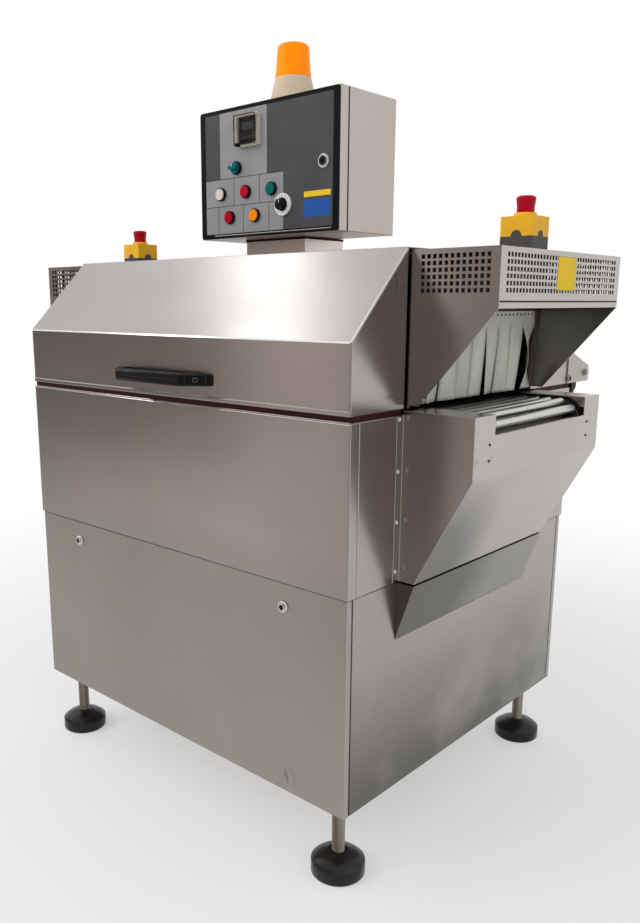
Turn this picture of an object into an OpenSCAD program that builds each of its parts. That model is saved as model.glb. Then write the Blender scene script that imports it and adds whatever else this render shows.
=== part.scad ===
// Heat shrink tunnel with a lift-up front cover, guarded mouths and a control box on a column.
// X runs along the conveyor, the front faces -Y, and Z = 0 is the floor.

/* [Body] */
// Length of the tank casing along the conveyor
body_l = 1000; // [900:10:1200]
// Depth of the tank casing from front to rear
body_d = 870; // [840:10:1000]
// Height of the base cabinet
base_h = 440; // [360:10:520]
// Height of the tank casing
tank_h = 322; // [300:2:400]
// Thickness of the insulated tank and housing walls
wall_t = 25; // [15:1:40]
// Thickness of the sheet metal
sheet = 2; // [1.5:0.5:3]
// Step in from the tank casing to the base cabinet
base_inset = 3; // [1:0.5:8]
// Height of the seal gap between the tank and the upper housing
seal_gap_h = 11; // [8:1:16]
// Width of the seal
seal_w = 20; // [10:1:24]

/* [Base cabinet] */
// Side of the square tubes of the base frame
tube = 40; // [30:5:50]
// Width of the panel edge that wraps round a corner
corner_wrap = 14; // [8:1:24]
// Seam between the corner edge and the end panel
panel_seam = 4; // [2:1:8]
// Seam between the base panels and the tank casing
base_seam = 2; // [1:0.5:4]

/* [Feet] */
// Height of the base cabinet over the floor
foot_lift = 163; // [120:1:190]
// Diameter of a foot pad
pad_d = 110; // [80:1:130]
// Height of the straight side of a foot pad
pad_side_h = 28; // [20:1:34]
// Height of a foot pad at its spindle
pad_h = 48; // [42:1:60]
// Diameter of a threaded spindle
spindle_d = 25; // [20:1:30]
// Bevel of a foot pad at the floor
pad_bevel = 3; // [1:0.5:5]
// Width of the steep shoulder of a foot pad
pad_shoulder_w = 14; // [6:1:18]
// Height of the steep shoulder of a foot pad
pad_shoulder_h = 11; // [4:1:14]
// Width of the collar round the spindle
pad_collar = 8; // [4:1:12]
// Depth of the spindle socket in the pad
socket_depth = 20; // [10:1:30]
// Distance from the cabinet corner to the spindle, both ways
foot_inset = 54; // [48:1:80]
// Width across the corners of a lock nut
nut_d = 42; // [36:1:50]
// Height of a lock nut
nut_h = 18; // [10:1:25]

/* [Front cover] */
// Height of the upright front band
band_h = 126; // [90:1:140]
// Height of the whole upper housing
upper_h = 289; // [260:1:320]
// Depth of the slope
slope_run = 160; // [130:1:180]
// Depth of the top flange behind the slope
cover_flange = 140; // [100:1:160]
// Step in of the cover from the ends of the tank casing
cover_inset = 2; // [1:0.5:4]
// Gap between the cover and the end guards
cover_gap = 6; // [5:0.5:10]
// Depth of the cover's ends behind the slope
cheek_lap = 1; // [0.5:0.5:4]
// Depth of the turned-in bottom edge
cover_return = 14; // [8:1:20]
// Height of the hem along the bottom edge
hem_h = 8; // [5:0.5:14]
// Thickness that the hem adds
hem_t = 1.5; // [1:0.5:3]

/* [Cover handle] */
// Length of the handle between the outer ends of its feet
handle_l = 314; // [270:2:340]
// Length of the straight grip
handle_grip_l = 204; // [160:2:220]
// Reach of the handle from the cover
handle_reach = 45; // [40:1:60]
// Depth of the grip and of the legs
handle_bar_t = 20; // [14:1:22]
// Height of the grip
handle_bar_h = 25; // [20:1:36]
// Rounding of the handle's front edges
handle_round = 6; // [2:0.5:9]
// Height of the middle of the handle over the cover's bottom edge
handle_z = 42; // [30:1:60]

/* [Cover hinges] */
// Diameter of a hinge barrel
barrel_d = 10; // [8:0.5:12]
// Diameter of a hinge pin
pin_d = 6; // [4:0.5:7]
// Play of a hinge pin in its bore, on the radius
pin_play = 0.1; // [0.05:0.01:0.2]
// Length of one hinge barrel
barrel_l = 60; // [45:1:80]
// Depth of a hinge leaf
leaf_w = 22; // [16:1:30]
// Thickness of a hinge leaf
leaf_t = 2.5; // [2:0.5:4]
// Distance of the outer hinges from the middle
hinge_x = 360; // [280:5:420]
// Distance from the pin to the edges of the cover and the roof
hinge_gap = 2.5; // [2.5:0.5:4]
// Gap between the knuckles of a hinge
knuckle_gap = 0.5; // [0.3:0.1:1]

/* [Mouths and guards] */
// Width of a guard from its front plate to its rear plate
guard_w = 500; // [480:2:560]
// Reach of a guard beyond the tank casing
guard_reach = 176; // [140:1:200]
// Step down from the roof to the top of a guard
guard_drop = 5; // [0:1:12]
// Height of the end plate of a guard
guard_end_h = 102; // [90:1:130]
// Width of the foot of a guard's side plate
guard_toe = 24; // [16:1:40]
// Height of a guard's toe over the bottom of the upper housing
guard_toe_z = 6; // [3:1:20]
// Side of a square perforation
hole = 7.5; // [5:0.5:8]
// Pitch of the perforations
hole_pitch = 11.75; // [11:0.25:12]
// Distance from the guard's top to the first row's middle
hole_top = 13; // [10:1:22]
// Distance from the outer corner to the nearest column's middle
hole_edge = 22; // [20:1:28]
// Height of the hem along the bottom of an end plate
guard_hem_h = 13; // [8:1:18]
// Height of the seam over the hem
guard_seam_h = 3; // [1:0.5:5]
// Depth of the seam over the hem
guard_seam_d = 1.2; // [0.5:0.1:1.4]
// Width of the jamb between a guard's plate and the opening into the tunnel
mouth_jamb = 10; // [6:1:40]
// Height of the opening into the tunnel
mouth_h = 150; // [120:1:200]

/* [Strip curtains] */
// Height of the uncut head of a curtain
curtain_head = 28; // [20:1:36]
// Height of the free edge over the bottom of the upper housing
curtain_lift = 4; // [3:1:15]
// Number of strips in a curtain
strips = 9; // [6:1:12]
// Thickness of the curtain
curtain_t = 2; // [1.5:0.5:4]
// Width of the slit between strips
slit = 2; // [1:0.5:5]

/* [Chutes] */
// Step out from a guard's plate to a chute's cheek
chute_step = 12; // [6:1:30]
// Reach of a chute beyond the tank casing
chute_reach = 150; // [130:1:160]
// Height of a chute's rim over the tank
chute_rise = 8; // [6:1:9]
// Height of the upright end of a chute
chute_end_h = 115; // [100:1:140]
// Reach of a chute at its lower edge
chute_toe = 37; // [25:1:60]
// Width of the corner posts beside the conveyor
post_w = 73; // [60:1:90]
// Depth of the notch for the conveyor in the end plate
notch_h = 38; // [30:1:50]
// Width of the screw flange on the tank's end
screw_flange_w = 20; // [14:1:30]
// Depth of the lip that carries the chain guide
lip_h = 22; // [18:1:30]
// Height of a drip deflector
deflector_h = 118; // [80:1:160]

/* [Conveyor] */
// Diameter of a conveyor rod
rod_d = 18; // [12:1:20]
// Wanted pitch of the rods
rod_pitch = 27; // [24:1:36]
// Radius of the turn at each end, to the rod's middle
turn_r = 36; // [30:1:42]
// Depth of the rods below the rim of the chute
rod_drop = 4; // [3:1:8]
// Clearance between the rods and the end plate
rod_gap = 3; // [2:0.5:6]
// Thickness of a chain
chain_t = 7; // [5:0.5:10]
// Height of a chain
chain_h = 14; // [10:1:18]
// Thickness of a chain guide
guide_t = 6; // [4:0.5:8]
// Height of the guide's edge over the chain's middle line
guide_edge = 11.5; // [10:0.5:12]
// Diameter of an end shaft
shaft_d = 30; // [20:1:36]
// Seat clearance between pieces that lie on each other
seat = 0.3; // [0.2:0.05:0.5]

/* [Rear brackets] */
// Reach of a bracket behind the tank casing
bracket_reach = 92; // [60:1:120]
// Length of a bracket along the housing
bracket_root = 26; // [20:1:60]
// Height of a bracket at its rear edge
bracket_tip_h = 37; // [20:1:50]
// Height of a bracket at the housing
bracket_h = 81; // [60:1:110]
// Thickness of a bracket
bracket_t = 3; // [2:0.5:5]
// Diameter of the hole in a bracket
bracket_hole_d = 14; // [8:1:16]
// Distance of the hole from the rear of the housing
bracket_hole_y = 14; // [10:1:16]
// Height of the hole over the bottom of the upper housing
bracket_hole_z = 13; // [10:1:40]
// Depth of a rear stop where it stands on the tank
stop_d = 12; // [8:1:20]
// Depth of a rear stop under the bracket
stop_head_d = 25; // [20:1:40]
// Height of the head of a rear stop
stop_head_h = 10; // [6:1:16]
// Width of a rear stop
stop_w = 22; // [12:1:40]
// Height of a rear stop on the tank
stop_h = 36; // [20:1:60]

/* [Control box] */
// Width of the control box
box_w = 448; // [420:2:520]
// Height of the control box
box_h = 302; // [290:2:360]
// Depth of the control box with its door
box_d = 202; // [160:2:240]
// Depth of the door
door_t = 26; // [18:1:40]
// Gap between the door and the box
door_gap = 5; // [5:0.5:8]
// Place of the box's left side
box_x = -282; // [-320:1:-240]
// Distance of the door from the front of the tank casing
box_y = 375; // [330:1:420]
// Width of the column under the box
column_w = 198; // [150:2:220]
// Depth of the column
column_d = 145; // [100:1:160]
// Height of the column
column_h = 58; // [50:1:110]
// Distance of the column from the box's left side
column_x = 84; // [60:1:160]
// Distance of the column behind the door's face
column_y = 75; // [60:1:90]
// Rim of the door round the control panel
panel_rim = 1; // [0.5:0.5:10]
// Rounding of the corners of the control panel
panel_round = 8; // [2:1:20]
// Thickness of the control panel
panel_t = 1.5; // [1:0.5:3]
// Height of the lower door hinge over the box's bottom edge
door_hinge_z = 40; // [30:1:70]

/* [Controls] */
// Width of the instrument
meter_w = 72; // [60:1:100]
// Height of the instrument
meter_h = 72; // [60:1:92]
// Depth of the instrument with its clear cover
meter_t = 22; // [16:1:30]
// Depth of the instrument's frame
meter_frame_t = 12; // [6:1:14]
// Step in from the frame to the clear cover
meter_step = 2; // [1:0.5:6]
// Diameter of a control's bezel
bezel_d = 31; // [29:0.5:36]
// Height of a control's bezel
bezel_h = 7; // [5:0.5:9]
// Diameter of a push button or lens
button_d = 26; // [20:0.5:27]
// Height of a push button over its bezel
button_proud = 3; // [1:0.5:4]
// Thickness of a push button
button_t = 4; // [3:0.5:4.5]
// Clearance round a push button
button_play = 0.4; // [0.3:0.1:0.8]
// Height of the selector's round foot
selector_foot_h = 4; // [2:0.5:6]
// Width of the selector's grip
selector_grip_w = 8; // [5:0.5:12]
// Height of the selector's grip
selector_h = 12; // [8:1:20]
// Diameter of the dial plate
dial_d = 50; // [40:1:54]
// Thickness of the dial plate
dial_t = 6; // [2:0.5:8]
// Diameter of the dial knob's skirt
knob_d = 30; // [26:1:38]
// Height of the dial knob's skirt
knob_skirt_h = 3; // [2:0.5:6]
// Step in from the skirt to the grip
knob_step = 1.5; // [1:0.5:4]
// Narrowing of the grip towards its top
knob_taper = 2; // [1:0.5:6]
// Height of the dial knob
knob_h = 12; // [12:1:24]
// Diameter of the lock's flange
lock_d = 30; // [24:1:34]
// Thickness of the lock's flange
lock_flange_t = 3; // [2:0.5:4]
// Diameter of the lock's core
lock_core_d = 20; // [12:1:22]
// Height of the lock's core
lock_h = 6; // [4:0.5:10]
// Width over the corners of the lock's key pocket
lock_key_d = 10; // [6:0.5:11]
// Depth of the lock's key pocket
lock_key_depth = 4; // [2:0.5:5]

/* [Beacon] */
// Distance of the beacon from the box's left side
beacon_x = 219; // [100:1:340]
// Distance of the beacon behind the door's face
beacon_y = 101; // [95:1:130]
// Diameter of the beacon's foot
beacon_foot_d = 115; // [100:1:124]
// Height of the beacon's foot
beacon_foot_h = 63; // [40:1:80]
// Height of the upright rim of the foot
beacon_rim_h = 5; // [2:1:10]
// Step in from the top of the foot to the lens
lens_step = 1; // [0.5:0.5:4]
// Diameter of the lens at its foot
lens_d = 85; // [70:1:90]
// Height of the lens
lens_h = 75; // [60:1:100]
// Narrowing of the lens towards its top
lens_taper = 9; // [2:1:16]
// Rounding of the lens's top
lens_round = 10; // [6:1:16]

/* [Stop buttons] */
// Width of a stop box along the conveyor
stop_box_w = 66; // [60:1:80]
// Depth of a stop box
stop_box_d = 66; // [60:1:80]
// Distance of a stop box in front of the conveyor's middle line
stop_box_y = 3.5; // [0:0.5:20]
// Height of the grey base
stop_base_h = 30; // [22:1:36]
// Height of the yellow cover
stop_cover_h = 37; // [28:1:44]
// Radius of the cable entry bumps on the base
bump_r = 11; // [8:0.5:14]
// Diameter of the collar under the button
collar_d = 42; // [38:1:46]
// Height of the collar
collar_h = 7; // [6:0.5:10]
// Diameter of the button at its foot
mushroom_foot_d = 33; // [28:1:34]
// Diameter of the button at its top
mushroom_d = 37; // [34:1:42]
// Height of the button
mushroom_h = 32; // [28:1:40]
// Height of the button's straight neck
mushroom_neck_h = 12; // [6:1:16]
// Height of the button's upright rim
mushroom_rim_h = 3; // [1:0.5:6]
// Bevel of the button's top edge, across
mushroom_bevel_w = 4; // [1:0.5:6]
// Bevel of the button's top edge, down
mushroom_bevel_h = 3; // [1:0.5:6]
// Travel of the button
mushroom_travel = 4; // [3:0.5:4.5]
// Room that is left under a pressed button
mushroom_room = 2; // [1:0.5:2]

/* [Hidden] */
$fn = 64;

// Levels above the floor
base_z = foot_lift;
tank_z = base_z + base_h;
tank_top = tank_z + tank_h;
upper_z = tank_top + seal_gap_h;
roof_top = upper_z + upper_h;
roof_under = roof_top - wall_t;
guard_top = roof_top - guard_drop;
guard_end_z = guard_top - guard_end_h;
chute_top = tank_top + chute_rise;
box_z = roof_top + column_h;

// Places along the conveyor
half_l = body_l / 2;
base_half = half_l - base_inset;
cover_half = half_l - cover_inset;
guard_x = half_l + guard_reach;
chute_x = half_l + chute_reach;

// Places from the front of the tank casing
total_d = handle_reach + body_d + bracket_reach;
front_y = handle_reach - total_d / 2;
cheek_y = slope_run + cheek_lap;
guard_y = cheek_y + cover_gap;
guard_rear_y = guard_y + guard_w;
mid_y = guard_y + guard_w / 2;
mouth_w = guard_w - 2 * mouth_jamb;
chute_w = guard_w + 2 * chute_step;
chute_y = mid_y - chute_w / 2;
chute_rear_y = mid_y + chute_w / 2;
hinge_y = slope_run + cover_flange + hinge_gap;
hinge_z = roof_top + barrel_d / 2;
roof_y = hinge_y + hinge_gap;

// Columns and rows of perforations that the guards have room for
end_cols = floor((guard_w - 2 * hole_edge) / hole_pitch) + 1;
side_cols = floor((guard_reach - 2 * hole_edge) / hole_pitch) + 1;
hole_rows = floor((guard_end_h - hole_top - guard_hem_h) / hole_pitch);

// Conveyor loop
notch_half = chute_w / 2 - post_w;
conveyor_z = chute_top - rod_drop - rod_d / 2;
turn_x = chute_x - sheet - rod_gap - rod_d / 2 - turn_r;
turn_z = conveyor_z - turn_r;
chain_out = notch_half - guide_t - seat;
rod_half = chain_out - chain_t;
loop_l = 4 * turn_x + 2 * PI * turn_r;
rod_count = round(loop_l / rod_pitch);
rod_start = 2 * turn_x + PI * turn_r / 2;

// Control box
box_right = box_x + box_w;
door_back = box_y + door_t;
box_front = door_back + door_gap;
box_back = box_y + box_d;
door_pin_x = box_x - barrel_d / 2;
door_pin_y = door_back + door_gap / 2;
panel_y = box_y - panel_t;

// Middles of the controls, from the lower left corner of the door
meter_at = [174, 242];
selector_at = [130, 162];
white_at = [75.5, 105];
stop_at = [161, 105];
start_at = [246, 105];
reset_at = [106, 49];
amber_at = [191, 49];
dial_at = [283, 67];
lock_at = [403, 150.5];

// Stop boxes stand in the middle of the guards
stop_x = half_l + guard_reach / 2;
stop_cover_z = guard_top + stop_base_h;
stop_top = stop_cover_z + stop_cover_h;
mushroom_z = stop_top + mushroom_travel + mushroom_room;

// Overlap of a cut beyond the solid that it goes through
over = 1;

module from_front() {
    translate([0, front_y, 0]) children();
}

module both_ends() {
    children();
    mirror([1, 0, 0]) children();
}

module slab(x0, x1, y0, y1, z0, z1) {
    translate([x0, y0, z0]) cube([x1 - x0, y1 - y0, z1 - z0]);
}

// A plate drawn in X and Z, t thick from y towards the rear
module upright(y, t) {
    translate([0, y + t, 0]) rotate([90, 0, 0]) linear_extrude(t) children();
}

// A plate drawn in Y and Z, t thick from x outwards
module across(x, t) {
    translate([x, 0, 0]) rotate([90, 0, 90]) linear_extrude(t) children();
}

// A round piece on the door, its height h counted forwards from the panel
module on_panel(at, h0) {
    translate([box_x + at[0], panel_y - h0, box_z + at[1]]) rotate([90, 0, 0]) children();
}

// A ring from z up
module ring(d, bore, h) {
    difference() {
        cylinder(d = d, h = h);
        translate([0, 0, -over]) cylinder(d = bore, h = h + 2 * over);
    }
}

module at_feet() {
    for (x = [-1, 1], y = [base_inset + foot_inset, body_d - base_inset - foot_inset])
        translate([x * (base_half - foot_inset), y, 0]) children();
}

// Feet
module foot_pads() {
    color("#17181a") from_front() at_feet() rotate_extrude() polygon([
        [0, 0],
        [pad_d / 2 - pad_bevel, 0],
        [pad_d / 2, pad_bevel],
        [pad_d / 2, pad_side_h],
        [pad_d / 2 - pad_shoulder_w, pad_side_h + pad_shoulder_h],
        [spindle_d / 2 + pad_collar, pad_h],
        [spindle_d / 2 + seat, pad_h],
        [spindle_d / 2 + seat, pad_h - socket_depth],
        [0, pad_h - socket_depth]
    ]);
}

module foot_spindles() {
    color("#8f8a7c") from_front() at_feet() {
        translate([0, 0, pad_h - socket_depth + seat])
            cylinder(d = spindle_d, h = base_z - pad_h + socket_depth - seat);
        translate([0, 0, base_z - nut_h]) difference() {
            cylinder(d = nut_d, h = nut_h, $fn = 6);
            translate([0, 0, -over]) cylinder(d = spindle_d + 2 * seat, h = nut_h + 2 * over);
        }
    }
}

// Base cabinet
frame_x = base_half - sheet;
frame_y0 = base_inset + sheet;
frame_y1 = body_d - base_inset - sheet;

module base_frame() {
    color("#8b8b88") from_front() {
        slab(-frame_x, frame_x, frame_y0, frame_y1, base_z, base_z + sheet);
        for (x = [-frame_x, frame_x - tube], y = [frame_y0, frame_y1 - tube])
            slab(x, x + tube, y, y + tube, base_z, tank_z);
        for (y = [frame_y0, frame_y1 - tube])
            slab(-frame_x, frame_x, y, y + tube, tank_z - tube, tank_z);
        for (x = [-frame_x, frame_x - tube])
            slab(x, x + tube, frame_y0, frame_y1, tank_z - tube, tank_z);
    }
}

// A panel across the cabinet whose ends wrap round the corners
module wrapped_panel() {
    translate([0, 0, base_z]) linear_extrude(base_h - base_seam) difference() {
        translate([-base_half, 0]) square([2 * base_half, corner_wrap]);
        translate([-base_half + sheet, sheet]) square([2 * (base_half - sheet), corner_wrap]);
    }
}

module base_front_panel() {
    color("#b3b0a9") from_front() translate([0, base_inset, 0]) wrapped_panel();
}

module base_rear_panel() {
    color("#b3b0a9") from_front() translate([0, body_d - base_inset, 0]) mirror([0, 1, 0]) wrapped_panel();
}

module base_end_panels() {
    edge = base_inset + corner_wrap + panel_seam;
    color("#b0b2ac") from_front() both_ends()
        slab(base_half - sheet, base_half, edge, body_d - edge, base_z, tank_z - base_seam);
}

// Tank casing
module tank_front_wall() {
    color("#a9a39c") from_front() slab(-half_l, half_l, 0, wall_t, tank_z, tank_top);
}

module tank_rear_wall() {
    color("#a9a39c") from_front() slab(-half_l, half_l, body_d - wall_t, body_d, tank_z, tank_top);
}

module tank_end_walls() {
    notch_z = chute_top - chute_end_h;
    color("#a9a39c") from_front() both_ends() across(half_l - wall_t, wall_t) polygon([
        [wall_t, tank_z],
        [body_d - wall_t, tank_z],
        [body_d - wall_t, tank_top],
        [chute_rear_y - sheet, tank_top],
        [chute_rear_y - sheet, notch_z],
        [chute_y + sheet, notch_z],
        [chute_y + sheet, tank_top],
        [wall_t, tank_top]
    ]);
}

module tank_floor() {
    inside = half_l - wall_t;
    color("#a9a39c") from_front() slab(-inside, inside, wall_t, body_d - wall_t, tank_z, tank_z + wall_t);
}

// Half of the seal: a strip across the body with an arm along each end
module seal_half(reach) {
    translate([0, 0, tank_top]) linear_extrude(seal_gap_h - seat) difference() {
        translate([-base_half, 0]) square([2 * base_half, reach]);
        translate([-base_half + seal_w, seal_w]) square([2 * (base_half - seal_w), reach]);
    }
}

module gasket() {
    front_reach = chute_y - base_inset - sheet;
    rear_reach = body_d - base_inset - chute_rear_y - sheet;
    color("#5c1416") from_front() {
        translate([0, base_inset, 0]) seal_half(front_reach);
        translate([0, body_d - base_inset, 0]) mirror([0, 1, 0]) seal_half(rear_reach);
    }
}

// Chutes
chute_low = tank_z + base_seam;
chute_knee = chute_top - chute_end_h;

// One side of a chute, drawn at its front cheek: cheek, screw flange, top and guide lip
module chute_side() {
    inner_y = chute_y + post_w;
    upright(chute_y, sheet) polygon([
        [half_l, chute_low],
        [half_l + chute_toe, chute_low],
        [chute_x, chute_knee],
        [chute_x, chute_top],
        [half_l, chute_top]
    ]);
    slab(half_l, half_l + sheet, chute_y - screw_flange_w, chute_y + sheet, chute_low, tank_top);
    slab(half_l, chute_x - sheet, chute_y, inner_y, chute_top - sheet, chute_top);
    slab(half_l, chute_x - sheet, inner_y - sheet, inner_y, chute_top - lip_h, chute_top);
}

module chute_sides() {
    color("#8d867f") from_front() both_ends() {
        chute_side();
        translate([0, 2 * mid_y, 0]) mirror([0, 1, 0]) chute_side();
    }
}

module chute_end_plates() {
    slope = sheet * sqrt(1 + pow((chute_reach - chute_toe) / (chute_knee - chute_low), 2));
    inside_y = chute_y + sheet;
    color("#b5b1aa") from_front() both_ends() difference() {
        upright(inside_y, chute_w - 2 * sheet) polygon([
            [chute_x, chute_top],
            [chute_x - sheet, chute_top],
            [chute_x - sheet, chute_knee],
            [half_l + chute_toe - slope, chute_low],
            [half_l + chute_toe, chute_low],
            [chute_x, chute_knee]
        ]);
        slab(chute_x - 2 * sheet, chute_x + over, mid_y - notch_half, mid_y + notch_half,
            chute_top - notch_h, chute_top + over);
    }
}

module drip_deflectors() {
    top_z = tank_z - base_seam;
    x1 = half_l + chute_toe;
    lean = sheet * sqrt(1 + pow((x1 - base_half) / deflector_h, 2));
    color("#bdb9b2") from_front() both_ends() difference() {
        upright(chute_y, chute_w) polygon([
            [base_half, top_z],
            [x1, top_z],
            [base_half, top_z - deflector_h]
        ]);
        upright(chute_y + sheet, chute_w - 2 * sheet) polygon([
            [base_half - over, top_z + over],
            [x1 - lean, top_z + over],
            [x1 - lean, top_z],
            [base_half, top_z - deflector_h * (x1 - lean - base_half) / (x1 - base_half)],
            [base_half - over, top_z - deflector_h * (x1 - lean - base_half) / (x1 - base_half)]
        ]);
    }
}

// Conveyor: the outline of a loop that runs round both turns
module loop_outline(r) {
    square([2 * turn_x, 2 * r], center = true);
    for (x = [-turn_x, turn_x]) translate([x, 0]) circle(r);
}

function loop_point(s) =
    let (straight = 2 * turn_x, arc = PI * turn_r)
    s < straight ? [-turn_x + s, turn_r] :
    s < straight + arc ? [
        turn_x + turn_r * sin((s - straight) / turn_r * 180 / PI),
        turn_r * cos((s - straight) / turn_r * 180 / PI)
    ] :
    s < 2 * straight + arc ? [turn_x - (s - straight - arc), -turn_r] : [
        -turn_x - turn_r * sin((s - 2 * straight - arc) / turn_r * 180 / PI),
        -turn_r * cos((s - 2 * straight - arc) / turn_r * 180 / PI)
    ];

module conveyor_rods() {
    color("#c4c6c3") from_front() for (i = [0 : rod_count - 1]) {
        at = loop_point((rod_start + i * loop_l / rod_count) % loop_l);
        translate([at[0], mid_y + rod_half, turn_z + at[1]])
            rotate([90, 0, 0]) cylinder(d = rod_d, h = 2 * rod_half);
    }
}

module conveyor_chains() {
    color("#55565a") from_front() for (y = [mid_y - chain_out, mid_y + chain_out - chain_t])
        translate([0, 0, turn_z]) upright(y, chain_t) difference() {
            loop_outline(turn_r + chain_h / 2);
            loop_outline(turn_r - chain_h / 2);
        }
}

module chain_guides() {
    color("#161616") from_front() for (y = [mid_y - notch_half, mid_y + notch_half - guide_t])
        translate([0, 0, turn_z]) upright(y, guide_t) difference() {
            loop_outline(turn_r + guide_edge);
            loop_outline(turn_r - chain_h);
            square([2 * turn_x, 2 * turn_r - 2 * chain_h], center = true);
        }
}

module conveyor_shafts() {
    wheel_r = turn_r - chain_h / 2 - seat;
    color("#777a7d") from_front() both_ends() translate([turn_x, mid_y, turn_z]) rotate([90, 0, 0]) {
        cylinder(d = shaft_d, h = 2 * notch_half, center = true);
        for (y = [-1, 1])
            translate([0, 0, y * (rod_half + chain_t / 2)]) cylinder(r = wheel_r, h = chain_t, center = true);
    }
}

// Upper housing
module upper_end_walls() {
    mouth_y = mid_y - mouth_w / 2;
    color("#8f8b84") from_front() both_ends() across(half_l - wall_t, wall_t) polygon([
        [guard_y, upper_z],
        [mouth_y, upper_z],
        [mouth_y, upper_z + mouth_h],
        [mouth_y + mouth_w, upper_z + mouth_h],
        [mouth_y + mouth_w, upper_z],
        [body_d, upper_z],
        [body_d, roof_under],
        [guard_y, roof_under]
    ]);
}

module upper_rear_wall() {
    inside = half_l - wall_t;
    color("#8f8b84") from_front() slab(-inside, inside, body_d - wall_t, body_d, upper_z, roof_under);
}

module upper_roof() {
    color("#b3b0a9") from_front() slab(-half_l, half_l, roof_y, body_d, roof_under, roof_top);
}

// A hinge along X about its pin: the carried leaf points to the front, the other to the rear
knuckle = (barrel_l - 2 * knuckle_gap) / 3;

module hinge_leaf(side) {
    reach = leaf_w + hinge_gap;
    translate([0, side > 0 ? 0 : -reach, -barrel_d / 2]) cube([knuckle, reach, leaf_t]);
}

module barrel(l, d) {
    rotate([0, 90, 0]) cylinder(d = d, h = l);
}

module fixed_half(side) {
    for (x = [-barrel_l / 2, barrel_l / 2 - knuckle]) translate([x, 0, 0]) {
        barrel(knuckle, barrel_d);
        hinge_leaf(side);
    }
    translate([-barrel_l / 2, 0, 0]) barrel(barrel_l, pin_d);
}

module moving_half(side) {
    translate([-knuckle / 2, 0, 0]) difference() {
        union() {
            barrel(knuckle, barrel_d);
            hinge_leaf(side);
        }
        translate([-over, 0, 0]) barrel(knuckle + 2 * over, pin_d + 2 * pin_play);
    }
}

module at_cover_hinges() {
    for (x = [-hinge_x, 0, hinge_x]) translate([x, hinge_y, hinge_z]) children();
}

module roof_hinges() {
    color("#8b8b88") from_front() at_cover_hinges() fixed_half(1);
}

module cover_hinges() {
    color("#8b8b88") from_front() at_cover_hinges() moving_half(-1);
}

// Guards over the mouths
module hole_grid(cols, rows) {
    for (i = [0 : cols - 1], j = [0 : rows - 1])
        translate([i * hole_pitch - hole / 2, -j * hole_pitch - hole / 2]) square(hole);
}

module guard_side() {
    difference() {
        polygon([
            [half_l, upper_z + guard_toe_z],
            [half_l + guard_toe, upper_z + guard_toe_z],
            [guard_x, guard_end_z],
            [guard_x, guard_top],
            [half_l, guard_top]
        ]);
        translate([guard_x - hole_edge - (side_cols - 1) * hole_pitch, guard_top - hole_top])
            hole_grid(side_cols, hole_rows);
    }
}

module guard_front_plates() {
    color("#8d8780") from_front() both_ends() upright(guard_y, sheet) guard_side();
}

module guard_rear_plates() {
    color("#8d8780") from_front() both_ends() upright(guard_rear_y - sheet, sheet) guard_side();
}

module guard_end_plates() {
    y0 = guard_y + sheet;
    y1 = guard_rear_y - sheet;
    hem_top = guard_end_z + guard_hem_h;
    color("#c3beb8") from_front() both_ends() {
        difference() {
            across(guard_x - sheet, sheet) difference() {
                translate([y0, guard_end_z]) square([y1 - y0, guard_end_h]);
                translate([mid_y - (end_cols - 1) * hole_pitch / 2, guard_top - hole_top])
                    hole_grid(end_cols, hole_rows);
            }
            slab(guard_x - guard_seam_d, guard_x + over, y0 - over, y1 + over,
                hem_top - guard_seam_h, hem_top);
        }
        slab(guard_x - 2 * sheet, guard_x - sheet, y0, y1, guard_end_z, hem_top);
    }
}

module guard_tops() {
    color("#b9b5af") from_front() both_ends()
        slab(half_l, guard_x - sheet, guard_y + sheet, guard_rear_y - sheet, guard_top - sheet, guard_top);
}

// A curtain: one sheet with an uncut head, slit into strips below
module curtain() {
    top = upper_z + mouth_h + curtain_head;
    low = upper_z + curtain_lift;
    w = mouth_w - 2 * slit;
    strip_w = (w - (strips - 1) * slit) / strips;
    across(half_l + seat, curtain_t) difference() {
        translate([mid_y - w / 2, low]) square([w, top - low]);
        for (i = [1 : strips - 1])
            translate([mid_y - w / 2 + i * (strip_w + slit) - slit, low - over])
                square([slit, mouth_h - curtain_lift + over]);
    }
}

module right_curtain() {
    color("#c9cdb9") from_front() curtain();
}

module left_curtain() {
    color("#c9cdb9") from_front() mirror([1, 0, 0]) curtain();
}

// Rear brackets
module rear_brackets() {
    color("#a8a39d") from_front() both_ends() across(half_l, bracket_t) difference() {
        polygon([
            [body_d - bracket_root, upper_z],
            [body_d + bracket_reach, upper_z],
            [body_d + bracket_reach, upper_z + bracket_tip_h],
            [body_d - bracket_root, upper_z + bracket_h]
        ]);
        translate([body_d - bracket_hole_y, upper_z + bracket_hole_z]) circle(d = bracket_hole_d);
    }
}

module rear_stops() {
    head_z = upper_z - seat;
    color("#161616") from_front() both_ends() across(half_l - stop_w, stop_w + bracket_t) polygon([
        [body_d, tank_top - stop_h],
        [body_d + stop_d, tank_top - stop_h],
        [body_d + stop_d, head_z - stop_head_h - stop_head_d + stop_d],
        [body_d + stop_head_d, head_z - stop_head_h],
        [body_d + stop_head_d, head_z],
        [body_d, head_z]
    ]);
}

// Front cover
slope_rise = upper_h - band_h;
slope_a = atan2(slope_rise, slope_run);
band_top = upper_z + band_h;
bend_low = band_top - sheet * tan((90 - slope_a) / 2);
bend_top = slope_run + sheet * tan(slope_a / 2);

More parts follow.
